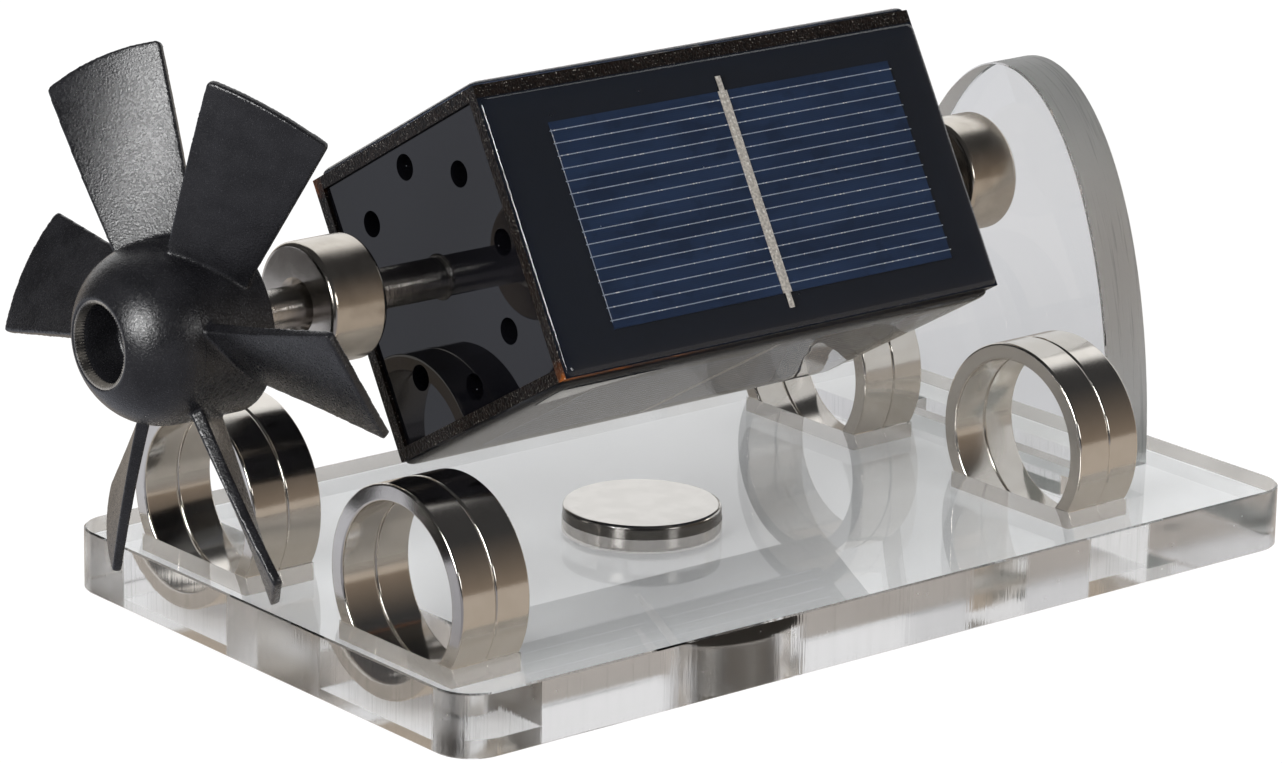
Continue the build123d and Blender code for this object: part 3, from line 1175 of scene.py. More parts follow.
@dataclass(frozen=True)
class MouldedPlastic(Finish):
    """Moulded plastic with a spark-eroded grain and sparkles painted into its colour."""

    name: str
    light: Colour
    dark: Colour
    roughness: float = 0.42
    grain: float = 4.2
    relief: Relief = Relief(0.55, 0.05)
    shine: float = 0.5
    sparkle_size: float = 0.3
    sparkle_share: float = 0.45
    sparkle_tone: float = 2.2  # brightness of a painted sparkle beside the plastic
    sparkle_strength: float = 0.8
    sparkle_roughness: Span = (0.16, -0.05)  # change from the dullest sparkle, and its start
    smudge_spread: float = 7.0  # mm
    smudge_roughness: float = -0.05
    parting_x: float = 0.0  # mm, place of the mould's parting line; 0 for none
    parting_width: float = 0.09
    parting_height: float = 1.4

    def draw(self, graph: Graph, effects: Effects) -> None:
        """Draw the grain, its uneven sheen, the sparkles painted into its colour and the parting
        line.

        Args:
            graph: Nodes of the material.
            effects: The shared effects.
        """
        place = graph.place()
        height, drift = graph.grained(effects, place, self.grain)
        smudge = graph.smudged(effects, place, self.smudge_spread)
        if self.parting_x:
            along = graph.parts(place)[0]
            offset = graph.math("ABSOLUTE", graph.math("SUBTRACT", along, self.parting_x))
            line = graph.fit(offset, self.parting_width, 0.0)
            height = graph.plus(height, graph.times(line, self.parting_height))
        flecks = Flecks(self.grain, self.sparkle_size, self.sparkle_share)
        sparkle, sparkle_tone = graph.scattered(effects, place, flecks)
        # Painted sparkles: flecks brightened in the base colour
        bright = graph.times(graph.times(sparkle, sparkle_tone), self.sparkle_strength)
        tone = graph.blend(drift, self.light, self.dark)
        painted_sparkle_colour = tuple(self.sparkle_tone * channel for channel in self.light)
        change, start = self.sparkle_roughness
        graph.surface(
            Specular_IOR_Level=self.shine,
            Base_Color=graph.blend(bright, tone, painted_sparkle_colour),
            Roughness=graph.plus(
                graph.math("MULTIPLY_ADD", sparkle_tone, change, self.roughness + start),
                graph.times(smudge, self.smudge_roughness),
            ),
            Normal=graph.bump(height, self.relief),
        )


def dress(node: bpy.types.Object, material: bpy.types.Material) -> None:
    """Give a piece one material all over."""
    node.data.materials.clear()
    node.data.materials.append(material)


# ------------------------------------------------------------------ sub-assemblies
@dataclass
class Assembly:
    """What every sub-assembly needs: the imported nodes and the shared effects."""

    nodes: dict[str, bpy.types.Object]
    effects: Effects

    def paint(self, prefix: str, finish: Finish) -> None:
        """Give every CAD node whose name starts with a prefix one finish.

        Args:
            prefix: Start of the nodes' names.
            finish: The finish.
        """
        material = finish.material(self.effects)
        for name, node in self.nodes.items():
            if name.startswith(prefix):
                dress(node, material)
                LOG.info("dressed %s in %s", name, finish.name)

    def hand_over(
        self, piece: bpy.types.Object, body: Body, slot: str, finish: Finish, *stands_for: str
    ) -> None:
        """Dress a new piece and tie it to its body.

        Args:
            piece: The new piece.
            body: The body that it moves with.
            slot: The record's material slot; not used.
            finish: The finish.
            *stands_for: CAD nodes that it replaces.
        """
        dress(piece, finish.material(self.effects))
        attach(piece, body.value)
        if stands_for:
            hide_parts(*stands_for)
        LOG.info("modelled %s for %s", piece.name, ", ".join(stands_for) or "the looks")


@dataclass
class AcrylicStand(Assembly):
    """The clear base and the clear upright."""

    def build(self) -> None:
        """Dress both sheets."""
        self.paint("base_plate", ClearAcrylic(name="clear_acrylic_base"))
        self.paint(
            "end_upright",
            ClearAcrylic(
                name="clear_acrylic_upright",
                thickness_axis=0,
                edge_dark=(0.66, 0.67, 0.67),
                edge_roughness=0.45,
                saw_pitch=0.12,
                saw_length=2.2,
            ),
        )


@dataclass
class FixedMagnets(Assembly):
    """Ring magnets and the disc magnet of the stand."""

    def build(self) -> None:
        """Dress the magnets."""
        self.paint("ring_magnet", Nickel(name="nickel_rings"))
        self.paint(
            "disc_magnet",
            Nickel(
                name="nickel_disc",
                light=(0.66, 0.64, 0.61),
                dark=(0.62, 0.6, 0.57),
                grinding_axis=2,
                roughness=0.14,
                # painted shade on the disc's side wall
                painted_side_shade=0.3,
            ),
        )


@dataclass
class RotorShaft(Assembly):
    """The shaft, its point, its magnets and the glue at the end plates."""

    shaft_radius: float = 2.5
    glue_radius: float = 2.95
    glue_height: float = 0.42
    # How the glue falls away from the plate: (outwards, inwards), mm
    glue_slope: tuple[Span, ...] = ((0.1, 0.1), (0.18, 0.2), (0.3, 0.32))
    glue_end: float = 0.08  # mm, what is left of it on the shaft
    glue_sunk: float = 0.05  # mm, into the plate and the shaft
    glue_sides: int = 40
    glue_levels: int = 2
    glue_shading: float = 80.0  # degrees, the angle up to which it is shaded smooth
    lump_spread: float = 1.6  # mm
    lump_height: float = 0.12  # mm

    def build(self) -> None:
        """Dress the shaft and model the glue."""
        self.paint("shaft", TurnedSteel())
        self.paint("pointed_tip", TurnedSteel(name="tip_steel", roughness=0.12))
        self.paint(
            "rotor_magnet",
            Nickel(
                name="nickel_rotor_magnets",
                light=(0.68, 0.635, 0.57),
                dark=(0.6, 0.555, 0.495),
                roughness=0.17,
            ),
        )
        for end, outward in (("front", -1), ("rear", 1)):
            self._glue(end, outward)

    def _glue(self, end: str, outward: int) -> None:
        """Model the glue between the shaft and one end plate.

        Args:
            end: Which end of the drum.
            outward: Direction along X that leads away from the drum.
        """
        low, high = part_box(f"glue_ring_{end}")
        face = (high.x if outward < 0 else low.x) * PER_MM
        sunk = face - outward * self.glue_sunk
        end_x = face + outward * self.glue_height
        inner = self.shaft_radius - self.glue_sunk
        profile = [
            (sunk, inner),
            (sunk, self.glue_radius),
            *((face + outward * out, self.glue_radius - down) for out, down in self.glue_slope),
            (end_x, self.shaft_radius + self.glue_end),
            (end_x, inner),
            (sunk, inner),
        ]
        piece = turned(f"glue_bead_{end}", profile, self.glue_sides)
        levels = self.glue_levels
        finish_with(piece, "SUBSURF", levels=levels, render_levels=levels)
        lumps = bpy.data.textures.new(f"glue_lumps_{end}", "CLOUDS")
        lumps.noise_scale = self.lump_spread * MM
        height = self.lump_height * MM
        finish_with(piece, "DISPLACE", texture=lumps, strength=height, mid_level=0.5)
        smooth(piece, self.glue_shading)
        self.hand_over(piece, Body.ROTOR, "set_glue", SetGlue(), f"glue_ring_{end}")


@dataclass
class SolarDrum(Assembly):
    """Four panels round the windings, with black end plates."""

    front_x: float = -41.0
    length: float = 69.0
    width: float = 35.0
    board_outer: float = 18.3
    board_thickness: float = 1.6
    resin_margin: float = 0.15
    resin_sunk: float = 0.03
    resin_wall: float = 0.16
    resin_corner: float = 0.9
    resin_corner_steps: int = 8
    resin_shading: float = 60.0  # degrees
    # How the poured resin rises from its edge: (inwards, upwards), mm
    meniscus: tuple[Span, ...] = (
        (0.02, 0.08),
        (0.06, 0.10),
        (0.09, 0.10),
        (0.13, 0.10),
        (0.18, 0.09),
        (0.26, 0.08),
        (0.36, 0.06),
        (0.5, 0.05),
        (0.8, 0.035),
        (1.4, 0.02),
        (3.0, 0.01),
    )
    # How far the lower long edge is stained, by panel counted from 0
    stained_panels: dict[int, float] = field(default_factory=lambda: {0: 1.0, 2: 0.6})
    cell_x: float = -5.2
    cell_length: float = 54.0
    cell_top: float = 18.5
    finger_count: int = 16
    finger_pitch: float = 1.59
    finger_width: float = 0.12
    finger_height: float = 0.02
    finger_sunk: float = 0.005
    finger_point: float = 0.25  # by which each line thins out at its ends
    finger_point_inset: float = 0.001
    end_line_over: float = 0.4  # by which the line across outreaches the others

    @property
    def middle_y(self) -> float:
        """Middle of a panel across the drum, in its own frame."""
        return -self.board_thickness / 2

    def turn(self, index: int) -> float:
        """Turn of a panel about the axis, in radians, from lying flat."""
        return radians(90 - DRUM_ROLL - index * 360 / PANEL_COUNT)

    def place(self, index: int) -> Matrix:
        """Turn and shift of a panel from lying flat on the axis to its place.

        Args:
            index: Number of the panel, from 0.

        Returns:
            The placing, in metres.
        """
        lift = Matrix.Translation((0, 0, AXIS_HEIGHT * MM))
        return lift @ Matrix.Rotation(self.turn(index), 4, "X")

    def build(self) -> None:
        """Dress the CAD nodes and model resin and grid lines."""
        self.paint("end_plate", BlackAcrylic())
        self.paint(
            "coil_former",
            MouldedPlastic("former_plastic", (0.05, 0.05, 0.052), (0.03, 0.03, 0.032)),
        )
        resin = self._resin()
        fingers = self._fingers()
        for index in range(PANEL_COUNT):
            name = f"panel_{index + 1}"
            turn = -self.turn(index)
            stain = self.stained_panels.get(index, 0.0)
            board = CircuitBoard(f"circuit_board_{index + 1}", turn, stain=stain)
            self.paint(f"{name}_board", board)
            self.paint(f"{name}_cell", SiliconCell(f"silicon_cell_{index + 1}", turn))
            self.hand_over(
                copy_of(resin, f"{name}_poured_resin", self.place(index)),
                Body.ROTOR,
                "clear_resin",
                ClearResin(),
                f"{name}_resin",
            )
            self.hand_over(
                copy_of(fingers, f"{name}_grid_lines", self.place(index)),
                Body.ROTOR,
                "tinned_ribbon",
                Silver("grid_silver", (0.42, 0.47, 0.55), (0.3, 0.34, 0.4), 0.45),
            )
        for spare in (resin, fingers):
            bpy.data.objects.remove(spare)
        ribbon = Silver("tinned_ribbon").material(self.effects)
        solder = Silver("soft_solder", (0.7, 0.69, 0.68), (0.4, 0.4, 0.41)).material(self.effects)
        leads = Enamelled("lead_enamel", wire=5.0).material(self.effects)
        for name, node in self.nodes.items():
            for ending, material in (("_ribbon", ribbon), ("_solder", solder), ("_leads", leads)):
                if name.endswith(ending):
                    dress(node, material)
        for index, name in enumerate(("winding_inner", "winding_outer")):
            winding = Enamelled(f"enamelled_copper_{index + 1}", -self.turn(index + 1))
            self.paint(name, winding)

    def _resin(self) -> bpy.types.Object:
        """Model the poured resin of one panel, lying flat on the drum's axis.

        Returns:
            The closed, domed piece.
        """
        middle_x = self.front_x + self.length / 2
        bottom = self.board_outer - self.resin_sunk
        length, width = (size - 2 * self.resin_margin for size in (self.length, self.width))
        clear_selection()
        bpy.ops.mesh.primitive_cube_add(
            size=1,
            location=(middle_x * MM, self.middle_y * MM, (bottom + self.resin_wall / 2) * MM),
            scale=(length * MM, width * MM, self.resin_wall * MM),
        )
        piece = named("poured_resin")
        centre = Vector((middle_x * MM, self.middle_y * MM, bottom * MM))
        with editing(piece):
            pick(piece, lambda _, along: abs(along.z) > ALONG_AXIS, Select.EDGES)
            bpy.ops.mesh.bevel(
                offset=self.resin_corner * MM, segments=self.resin_corner_steps, affect="EDGES"
            )
            pick(piece, lambda _, normal: normal.z > ALONG_AXIS)
            for inwards, upwards in self.meniscus:
                bpy.ops.mesh.extrude_region_move(
                    TRANSFORM_OT_translate={"value": (0, 0, upwards * MM)}
                )
                ratio_x = (length - 2 * inwards) / length
                ratio_y = (width - 2 * inwards) / width
                bpy.ops.transform.resize(value=(ratio_x, ratio_y, 1), center_override=centre)
                length, width = length - 2 * inwards, width - 2 * inwards
        smooth(piece, self.resin_shading)
        return piece

    def _fingers(self) -> bpy.types.Object:
        """Model the silver grid of one cell, lying flat on the drum's axis.

        Returns:
            The lines along the cell and the line across its fan end.
        """
        span = (self.finger_count - 1) * self.finger_pitch
        level = self.cell_top + self.finger_height / 2 - self.finger_sunk
        clear_selection()
        bpy.ops.mesh.primitive_cube_add(
            size=1,
            location=(self.cell_x * MM, (self.middle_y - span / 2) * MM, level * MM),
            scale=(self.cell_length * MM, self.finger_width * MM, self.finger_height * MM),
        )
        lines = named("grid_lines")
        with editing(lines):
            pick(lines, lambda _, normal: abs(normal.x) > ALONG_AXIS)
            inset, depth = self.finger_point_inset * MM, self.finger_point * MM
            bpy.ops.mesh.inset(thickness=inset, depth=depth)
        finish_with(
            lines,
            "ARRAY",
            count=self.finger_count,
            use_relative_offset=False,
            use_constant_offset=True,
            constant_offset_displace=(0, self.finger_pitch * MM, 0),
        )
        clear_selection()
        bpy.ops.mesh.primitive_cube_add(
            size=1,
            location=((self.cell_x - self.cell_length / 2) * MM, self.middle_y * MM, level * MM),
            scale=(
                self.finger_width * MM,
                (span + self.end_line_over) * MM,
                self.finger_height * MM,
            ),
        )
        return joined([lines, named("grid_end_line")], "grid_lines")


@dataclass
class Fan(Assembly):
    """Six twisted blades on a hollow-nosed hub."""

    rear_x: float = -72.5
    length: float = 17.4
    hub_radius: float = 10.8
    dome_length: float = 8.5
    dome_steps: int = 12
    mouth_radius: float = 5.15
    bore_radius: float = 4.6
    bore_depth: float = 6.0
    rim_radius: float = 5.4
    mouth_depth: float = 1.8
    lip: float = 0.2  # mm along X, of the rim round the mouth
    parting_before_dome: float = 1.0  # mm, of the mould's parting line
    wall: float = 1.6
    cavity_depth: float = 7.4
    boss_radius: float = 4.5
    socket_radius: float = 2.52
    socket_in_web: float = 2.0
    sides: int = 120
    blade_count: int = 6
    first_angle: float = -31.2  # degrees from straight up, towards panel 1
    tip_radius: float = 33.7
    root_radius: float = 9.9
    root_chord: float = 9.9
    tip_chord: float = 16.0
    root_pitch: float = 46.0
    tip_pitch: float = 30.0
    root_thickness: float = 1.6
    tip_thickness: float = 1.1
    bow: float = 14.3  # degrees round which the widest chord is bent
    root_shift: float = -0.7
    root_from_rear: float = 5.9
    tip_from_rear: float = 4.9
    corner_radius: float = 0.5
    corner_steps: int = 5
    corner_reach: float = 0.1  # mm, how far a corner may lie inside the tip circle
    corner_aside: float = 0.25  # mm, how far it may lie beside the blade's side
    tip_points: int = 240  # round the whole tip circle
    span_cuts: int = 16
    chord_cuts: int = 7  # to each side, 1 mm apart
    voxel: float = 0.2
    softening: float = 0.5  # how far each round of smoothing goes
    softening_rounds: int = 8
    kept_faces: float = 0.4  # share left after thinning out the remeshed fan
    tooth_count: int = 84
    tooth_start: float = 0.15  # mm behind the tip of the nose
    tooth_shading: float = 20.0  # degrees
    # Section of the toothed ring: (behind its start, outside the mouth), mm
    tooth_profile: tuple[Span, ...] = (
        (0.0, 0.1),
        (0.0, -0.02),
        (0.7, -0.22),
        (1.1, -0.24),
        (1.1, 0.1),
        (0.0, 0.1),
    )
    tooth_scale: float = 0.95  # of the points of the teeth towards the axis
    tooth_inner: float = 0.05  # mm outside the mouth, where the ring's inner side ends

    def build(self) -> None:
        """Model the fan and the toothed edge of its nose."""
        hub = turned("hub", self._hub_profile(), self.sides, capped=True)
        blade = self._blade()
        pieces = [hub]
        for number in range(self.blade_count):
            turn = radians(self.first_angle + number * 360 / self.blade_count)
            pieces.append(copy_of(blade, f"blade_{number + 1}", self._round_axis(turn)))
        bpy.data.objects.remove(blade)
        fan = joined(pieces, "moulded_fan")
        finish_with(fan, "REMESH", mode="VOXEL", voxel_size=self.voxel * MM, adaptivity=0.0)
        finish_with(
            fan, "SMOOTH", factor=self.softening, iterations=self.softening_rounds
        )
        finish_with(fan, "DECIMATE", ratio=self.kept_faces)
        activate(fan)
        bpy.ops.object.shade_smooth()
        plastic = MouldedPlastic(
            "black_fan_plastic",
            (0.013, 0.013, 0.015),
            (0.008, 0.008, 0.0095),
            roughness=0.23,
            relief=Relief(0.55, 0.03),
            shine=0.6,
            parting_x=self.rear_x - self.length + self.dome_length - self.parting_before_dome,
        )
        self.hand_over(fan, Body.ROTOR, "fan_plastic", plastic, "fan")
        # Painted highlight: the toothed ring is the fan's black plastic, coloured much lighter so
        # its teeth look lit
        rim = MouldedPlastic(
            "painted_lit_nose_plastic",
            (0.2, 0.185, 0.165),
            (0.04, 0.038, 0.036),
            roughness=0.2,
            relief=Relief(0.55, 0.02),
            shine=1.0,
        )
        self.hand_over(self._teeth(), Body.ROTOR, "fan_plastic", rim)

    def _round_axis(self, turn: float) -> Matrix:
        """Turn about the rotor axis, from straight up towards -Y, in radians."""
        lift = Matrix.Translation((0, 0, AXIS_HEIGHT * MM))
        return lift @ Matrix.Rotation(turn, 4, "X")

    def _hub_profile(self) -> list[Span]:
        """Profile of the hub from the floor of its nose bore to its shaft socket.

        Returns:
            Points (x, radius), in mm.
        """
        nose = self.rear_x - self.length
        dome_end = nose + self.dome_length
        rise = self.hub_radius - self.rim_radius
        radius = (self.dome_length**2 + rise**2) / (2 * rise)
        dome = []
        for step in range(self.dome_steps + 1):
            x = self.dome_length * cos(step / self.dome_steps * pi / 2)
            y = radius - (radius**2 - x**2) ** 0.5
            dome.append((dome_end - x, self.hub_radius - y))
        cavity = self.rear_x - self.cavity_depth
        return [
            (nose + self.bore_depth, self.bore_radius),
            (nose + self.mouth_depth, self.bore_radius),
            (nose + self.lip, self.mouth_radius),
            *dome,
            (self.rear_x, self.hub_radius),
            (self.rear_x, self.hub_radius - self.wall),
            (cavity, self.hub_radius - self.wall),
            (cavity, self.boss_radius),
            (self.rear_x, self.boss_radius),
            (self.rear_x, self.socket_radius),
            (cavity - self.socket_in_web, self.socket_radius),
        ]

    def _blade(self) -> bpy.types.Object:
        """Model one blade, standing straight up from the rotor axis.

        Returns:
            The closed blade, with the axis at height 0.
        """
        clear_selection()
        bpy.ops.mesh.primitive_circle_add(
            vertices=self.tip_points,
            radius=self.tip_radius * MM,
            fill_type="NGON",
            rotation=(pi / 2, 0, 0),
        )
        piece = named("blade")
        half_root, half_tip = self.root_chord / 2, self.tip_chord / 2
        span = self.tip_radius - self.root_radius
        with editing(piece, Select.VERTICES):
            bpy.ops.mesh.bisect(
                plane_co=(0, 0, self.root_radius * MM), plane_no=(0, 0, -1), clear_outer=True
            )
            for side in (-1, 1):
                bpy.ops.mesh.select_all(action="SELECT")
                bpy.ops.mesh.bisect(
                    plane_co=(side * half_root * MM, 0, self.root_radius * MM),
                    plane_no=Vector((side * span, 0, half_root - half_tip)).normalized(),
                    clear_outer=True,
                )
            pick(piece, self._is_tip_corner, Select.VERTICES)
            bpy.ops.mesh.bevel(
                offset=self.corner_radius * MM,
                segments=self.corner_steps,
                affect="VERTICES",
                profile=0.5,
            )
            for cut in range(1, self.span_cuts):
                height = self.root_radius + span * cut / self.span_cuts
                bpy.ops.mesh.select_all(action="SELECT")
                bpy.ops.mesh.bisect(plane_co=(0, 0, height * MM), plane_no=(0, 0, 1))
            for cut in range(-self.chord_cuts, self.chord_cuts + 1):
                bpy.ops.mesh.select_all(action="SELECT")
                bpy.ops.mesh.bisect(plane_co=(cut * MM, 0, 0), plane_no=(1, 0, 0))
        thickness = piece.vertex_groups.new(name="thickness")
        for vertex in piece.data.vertices:
            share = (vertex.co.z * PER_MM - self.root_radius) / span
            thickness.add([vertex.index], max(0.0, 1.0 - share), "REPLACE")
        finish_with(
            piece,
            "SOLIDIFY",
            thickness=self.root_thickness * MM,
            offset=0,
            vertex_group="thickness",
            thickness_vertex_group=self.tip_thickness / self.root_thickness,
        )
        face_outwards(piece)
        finish_with(
            piece, "SIMPLE_DEFORM", deform_method="BEND", deform_axis="Z", angle=radians(self.bow)
        )
        twist = radians(self.tip_pitch - self.root_pitch)
        finish_with(
            piece, "SIMPLE_DEFORM", deform_method="TWIST", deform_axis="Z", angle=twist
        )
        start = radians(self.root_pitch - 90) - twist * self.root_radius / span
        lean_x = (self.tip_from_rear - self.root_from_rear) / span
        lean_y = -self.root_shift / span
        shift = (
            (self.rear_x - self.root_from_rear + lean_x * self.root_radius) * MM,
            (self.root_shift - lean_y * self.root_radius) * MM,
            0,
        )
        lean = Matrix.Rotation(-lean_x, 4, "Y") @ Matrix.Rotation(-lean_y, 4, "X")
        piece.data.transform(Matrix.Translation(shift) @ lean @ Matrix.Rotation(start, 4, "Z"))
        return piece

    def _is_tip_corner(self, place: Vector, _: Vector) -> bool:
        """Whether a point of the flat blade is one of its two outer corners.

        Args:
            place: Place of the point, in m.
            _: Its normal, which makes no difference.

        Returns:
            True at a corner.
        """
        reach = hypot(place.x, place.z) * PER_MM
        aside = abs(abs(place.x) * PER_MM - self.tip_chord / 2)
        return reach > self.tip_radius - self.corner_reach and aside < self.corner_aside

    def _teeth(self) -> bpy.types.Object:
        """Model the fine teeth that line the mouth of the nose.

        Returns:
            The closed toothed ring.
        """
        front = self.rear_x - self.length + self.tooth_start
        profile = [(front + x, self.mouth_radius + out) for x, out in self.tooth_profile]
        ring = turned("fan_nose_teeth", profile, 2 * self.tooth_count)
        with editing(ring, Select.VERTICES):
            pick(ring, self._is_tooth_top, Select.VERTICES)
            bpy.ops.transform.resize(
                value=(1, self.tooth_scale, self.tooth_scale),
                center_override=(front * MM, 0, AXIS_HEIGHT * MM),
            )
        smooth(ring, self.tooth_shading)
        return ring

    def _is_tooth_top(self, place: Vector, _: Vector) -> bool:
        """Whether a point of the toothed ring is on the inner side, on every other ray.

        Args:
            place: Place of the point, in m.
            _: Its normal, which makes no difference.

        Returns:
            True where the tip of a tooth is to be.
        """
        across = Vector((place.y, place.z - AXIS_HEIGHT * MM))
        ray = across.angle_signed(Vector((0, 1))) / (2 * pi) * 2 * self.tooth_count
        inner = across.length < (self.mouth_radius + self.tooth_inner) * MM
        return inner and round(ray) % 2 == 0


# ------------------------------------------------------------------ studio
@dataclass(frozen=True)
class Lamp:
    """A square soft lamp that points at the object."""

    name: str
    azimuth: float  # degrees from +X towards +Y
    elevation: float  # degrees above the floor
    distance: float  # m from the object
    size: float  # m
    power: float  # W
    shows: bool = True  # whether glossy surfaces mirror it


@dataclass
class Studio:
    """Pale floor, white surroundings, soft lamps and the camera."""

    azimuth: float = 39.861  # degrees, of the camera round the target
    elevation: float = 16.792
    roll: float = 1.115
    distance: float = 560.6
    target: Colour = (-95.24, -103.66, 66.38)
    focal_pixels: float = 5635.7
    sensor: float = 36.0
    clip_end: float = 10.0  # m
    bounces: int = 20
    away: Span = (0.641, 0.767)  # direction along the floor from the camera to the object
    white: float = 1.0

    floor_size: float = 4.0  # m
    floor_drop: float = 0.2  # mm under the base
    floor_seen: Colour = (1.08, 1.08, 1.08)
    floor_through: Colour = (0.8, 0.8, 0.82)  # seen through clear pieces
    # What metal and glass mirror of the floor is painted light and shade of the table round the
    # object
    floor_warm: Colour = (0.44, 0.375, 0.31)  # mirrored beside the object
    floor_cool: Colour = (0.55, 0.57, 0.64)  # mirrored beyond the fan
    floor_painted_shade: Colour = (0.2, 0.2, 0.235)  # painted shade: mirrored before the fan, where the table is unlit
    floor_beyond_fan: Span = (-60.0, -90.0)  # mm along X
    floor_before_fan: Span = (20.0, 80.0)  # mm towards the camera
    # Share of the floor's own light in what is mirrored, seen through and seen
    mirrored_glow: float = 0.9
    through_glow: float = 0.12
    seen_glow: float = 0.88
    paper: Colour = (0.8, 0.8, 0.8)
    paper_through: Colour = (0.72, 0.72, 0.735)  # seen through the stand
    paper_painted_shade: Colour = (0.38, 0.34, 0.30)  # painted shade of the drum's shadow: mirrored and seen through the stand

    overhead: Colour = (0.04, 0.04, 0.041)
    front: Colour = (0.225, 0.18, 0.142)
    front_height: Span = (0.68, 0.0)
    front_side: Span = (-0.3, 0.15)
    backdrop_depth: Span = (0.46, 0.58)
    backdrop_height: Span = (0.82, 0.72)
    backdrop_side: Span = (-0.05, 0.15)
    through: Colour = (0.72, 0.72, 0.73)  # surroundings seen through clear pieces
    through_share: float = 0.85
    ambient: Colour = (0.34, 0.34, 0.35)

    lamps: tuple[Lamp, ...] = (
        Lamp("key", -165, 20, 0.9, 0.32, 5.8),
        Lamp("side", -84, 16, 0.9, 0.2, 0.8),
        Lamp("top", 60, 75, 1.1, 1.2, 7.0, False),
    )
    lamp_aim: float = 0.03  # m above the floor

    def build(self) -> None:
        """Set up everything round the object."""
        self._camera()
        self._floor()
        self._world()
        for lamp in self.lamps:
            self._hang(lamp)
        scene = bpy.context.scene
        scene.view_settings.view_transform = "Standard"
        # Light that is mirrored again and again inside the clear sheets still comes out
        scene.cycles.max_bounces = self.bounces
        scene.cycles.glossy_bounces = self.bounces
        scene.cycles.transmission_bounces = self.bounces
        LOG.info("set up the studio")

    def _camera(self) -> None:
        """Place the camera at the photograph's angle."""
        side, rise = radians(self.azimuth), radians(self.elevation)
        backward = Vector((-sin(side) * cos(rise), -cos(side) * cos(rise), sin(rise)))
        right = (-backward).cross(Vector((0, 0, 1))).normalized()
        up = right.cross(-backward)
        roll = radians(self.roll)
        rolled_right = cos(roll) * right + sin(roll) * up
        rolled_up = -sin(roll) * right + cos(roll) * up
        data = bpy.data.cameras.new("camera")
        data.sensor_width = self.sensor
        data.lens = self.focal_pixels / IMAGE_WIDTH * self.sensor
        data.clip_end = self.clip_end
        camera = bpy.data.objects.new("camera", data)
        bpy.context.collection.objects.link(camera)
        turn = Matrix((rolled_right, rolled_up, backward)).transposed()
        place = (Vector(self.target) + self.distance * backward) * MM
        camera.matrix_world = Matrix.Translation(place) @ turn.to_4x4()
        bpy.context.scene.camera = camera

    def _floor(self) -> None:
        """Lay a pale floor that keeps the object's shadow, with painted light and shade where it
        is mirrored.
        """
        clear_selection()
        bpy.ops.mesh.primitive_plane_add(
            size=self.floor_size, location=(0, 0, -self.floor_drop * MM)
        )
        floor = named("studio_floor")
        material = bpy.data.materials.new("studio_white")
        material.use_nodes = True
        graph = Graph(material.node_tree)
        rays = graph.add("ShaderNodeLightPath").outputs
        x, y, _ = graph.parts(graph.place())
        towards_x, towards_y = (-part for part in self.away)
        forward = graph.plus(graph.times(x, towards_x), graph.times(y, towards_y))
        before = graph.fit(forward, *self.floor_before_fan)
        beside = graph.blend(before, self.floor_cool, self.floor_painted_shade)
        mirrored = graph.blend(graph.fit(x, *self.floor_beyond_fan), self.floor_warm, beside)
        # Painted shade: darker paper for rays that were mirrored and then passed through the
        # stand
        deep = graph.math("GREATER_THAN", rays["Glossy Depth"], 0.5)
        through = rays["Is Transmission Ray"]
        paper_colour = graph.blend(through, self.paper, self.paper_through)
        paper_colour = graph.blend(graph.times(deep, through), paper_colour, self.paper_painted_shade)
        share: object = 0.0
        colour: object = (1.0, 1.0, 1.0)
        for kind, part, level in (
            ("Is Glossy Ray", self.mirrored_glow, mirrored),
            ("Is Transmission Ray", self.through_glow, self.floor_through),
            ("Is Camera Ray", self.seen_glow, self.floor_seen),
        ):
            share = graph.between(rays[kind], share, part)
            colour = graph.blend(rays[kind], colour, level)
        paper = graph.add("ShaderNodeBsdfDiffuse")
        graph.put(paper.inputs["Color"], paper_colour)
        glow = graph.add("ShaderNodeEmission")
        graph.put(glow.inputs["Color"], colour)
        graph.put(glow.inputs["Strength"], self.white)
        mix = graph.add("ShaderNodeMixShader")
        graph.put(mix.inputs[0], share)
        graph.put(mix.inputs[1], paper.outputs[0])
        graph.put(mix.inputs[2], glow.outputs[0])
        output = graph.add("ShaderNodeOutputMaterial")
        graph.put(output.inputs["Surface"], mix.outputs[0])
        dress(floor, material)

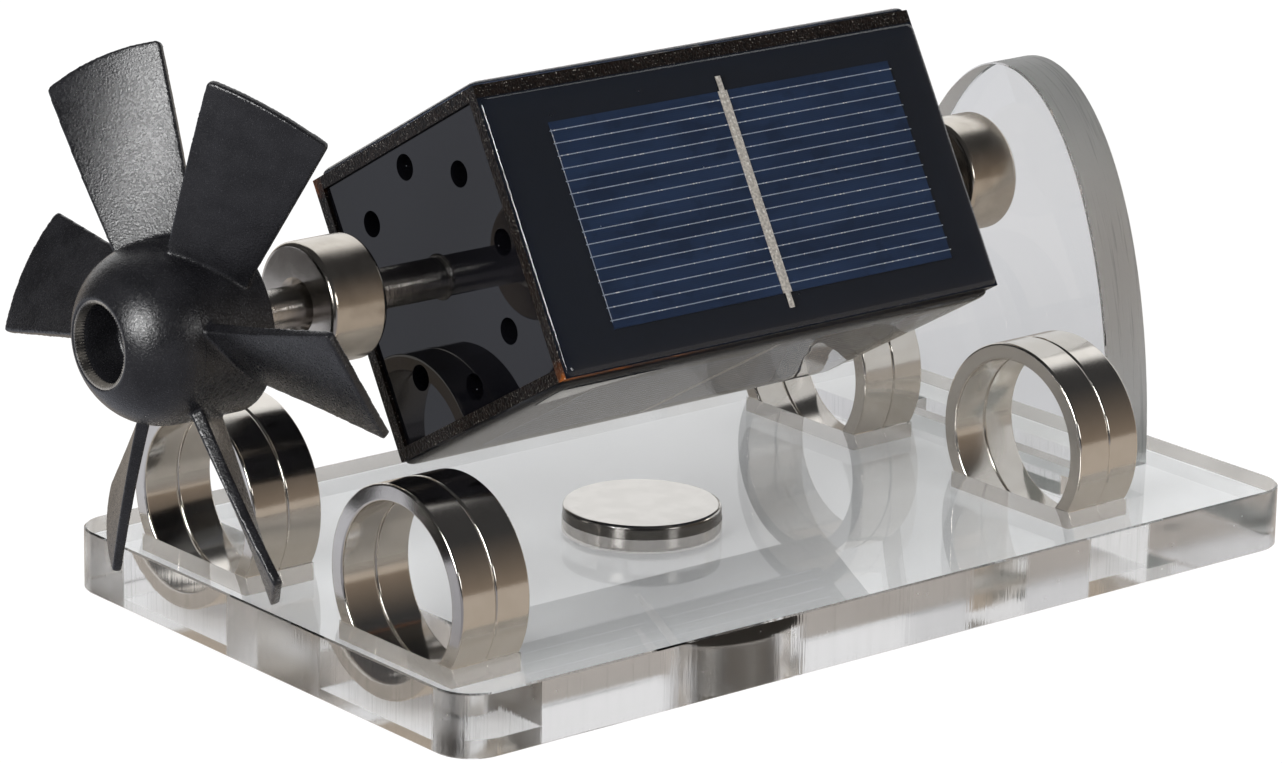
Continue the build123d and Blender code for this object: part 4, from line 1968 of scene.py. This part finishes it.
    def _world(self) -> None:
        """Surround the object: white behind it, dark overhead, dim in front."""
        world = bpy.data.worlds.new("studio")
        bpy.context.scene.world = world
        world.use_nodes = True
        graph = Graph(world.node_tree)
        direction = graph.add("ShaderNodeTexCoord").outputs["Generated"]
        x, y, z = graph.parts(direction)
        away_x, away_y = self.away
        behind = graph.plus(graph.times(x, away_x), graph.times(y, away_y))
        backdrop = graph.times(
            graph.fit(behind, *self.backdrop_depth), graph.fit(z, *self.backdrop_height)
        )
        backdrop = graph.times(backdrop, graph.fit(x, *self.backdrop_side))
        low = graph.times(graph.ramp(z, *self.front_height), graph.fit(x, *self.front_side))
        rays = graph.add("ShaderNodeLightPath").outputs
        clear = graph.times(rays["Is Transmission Ray"], self.through_share)
        white = (self.white,) * 3
        colour = graph.blend(low, self.overhead, self.front)
        colour = graph.blend(backdrop, colour, white)
        colour = graph.blend(clear, colour, self.through)
        colour = graph.blend(rays["Is Diffuse Ray"], colour, self.ambient)
        colour = graph.blend(rays["Is Camera Ray"], colour, white)
        backing = graph.add("ShaderNodeBackground")
        graph.put(backing.inputs["Color"], colour)
        output = graph.add("ShaderNodeOutputWorld")
        graph.put(output.inputs["Surface"], backing.outputs[0])

    def _hang(self, lamp: Lamp) -> None:
        """Hang one lamp.

        Args:
            lamp: The lamp.
        """
        turn, rise = radians(lamp.azimuth), radians(lamp.elevation)
        away = Vector((cos(turn) * cos(rise), sin(turn) * cos(rise), sin(rise)))
        data = bpy.data.lights.new(lamp.name, "AREA")
        data.size = lamp.size
        data.energy = lamp.power
        light = bpy.data.objects.new(lamp.name, data)
        bpy.context.collection.objects.link(light)
        light.location = Vector((0, 0, self.lamp_aim)) + away * lamp.distance
        light.rotation_euler = away.to_track_quat("Z", "Y").to_euler()
        light.visible_glossy = lamp.shows
        light.visible_camera = False
        light.visible_transmission = False


def main() -> None:
    """Build the motor and its studio."""
    logging.basicConfig(level=logging.INFO, format="%(name)s: %(message)s")
    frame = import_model()
    effects = Effects()
    for assembly in (AcrylicStand, FixedMagnets, RotorShaft, SolarDrum, Fan):
        assembly(frame["nodes"], effects).build()
    Studio().build()
    clear_selection()


if __name__ == "__main__":
    main()
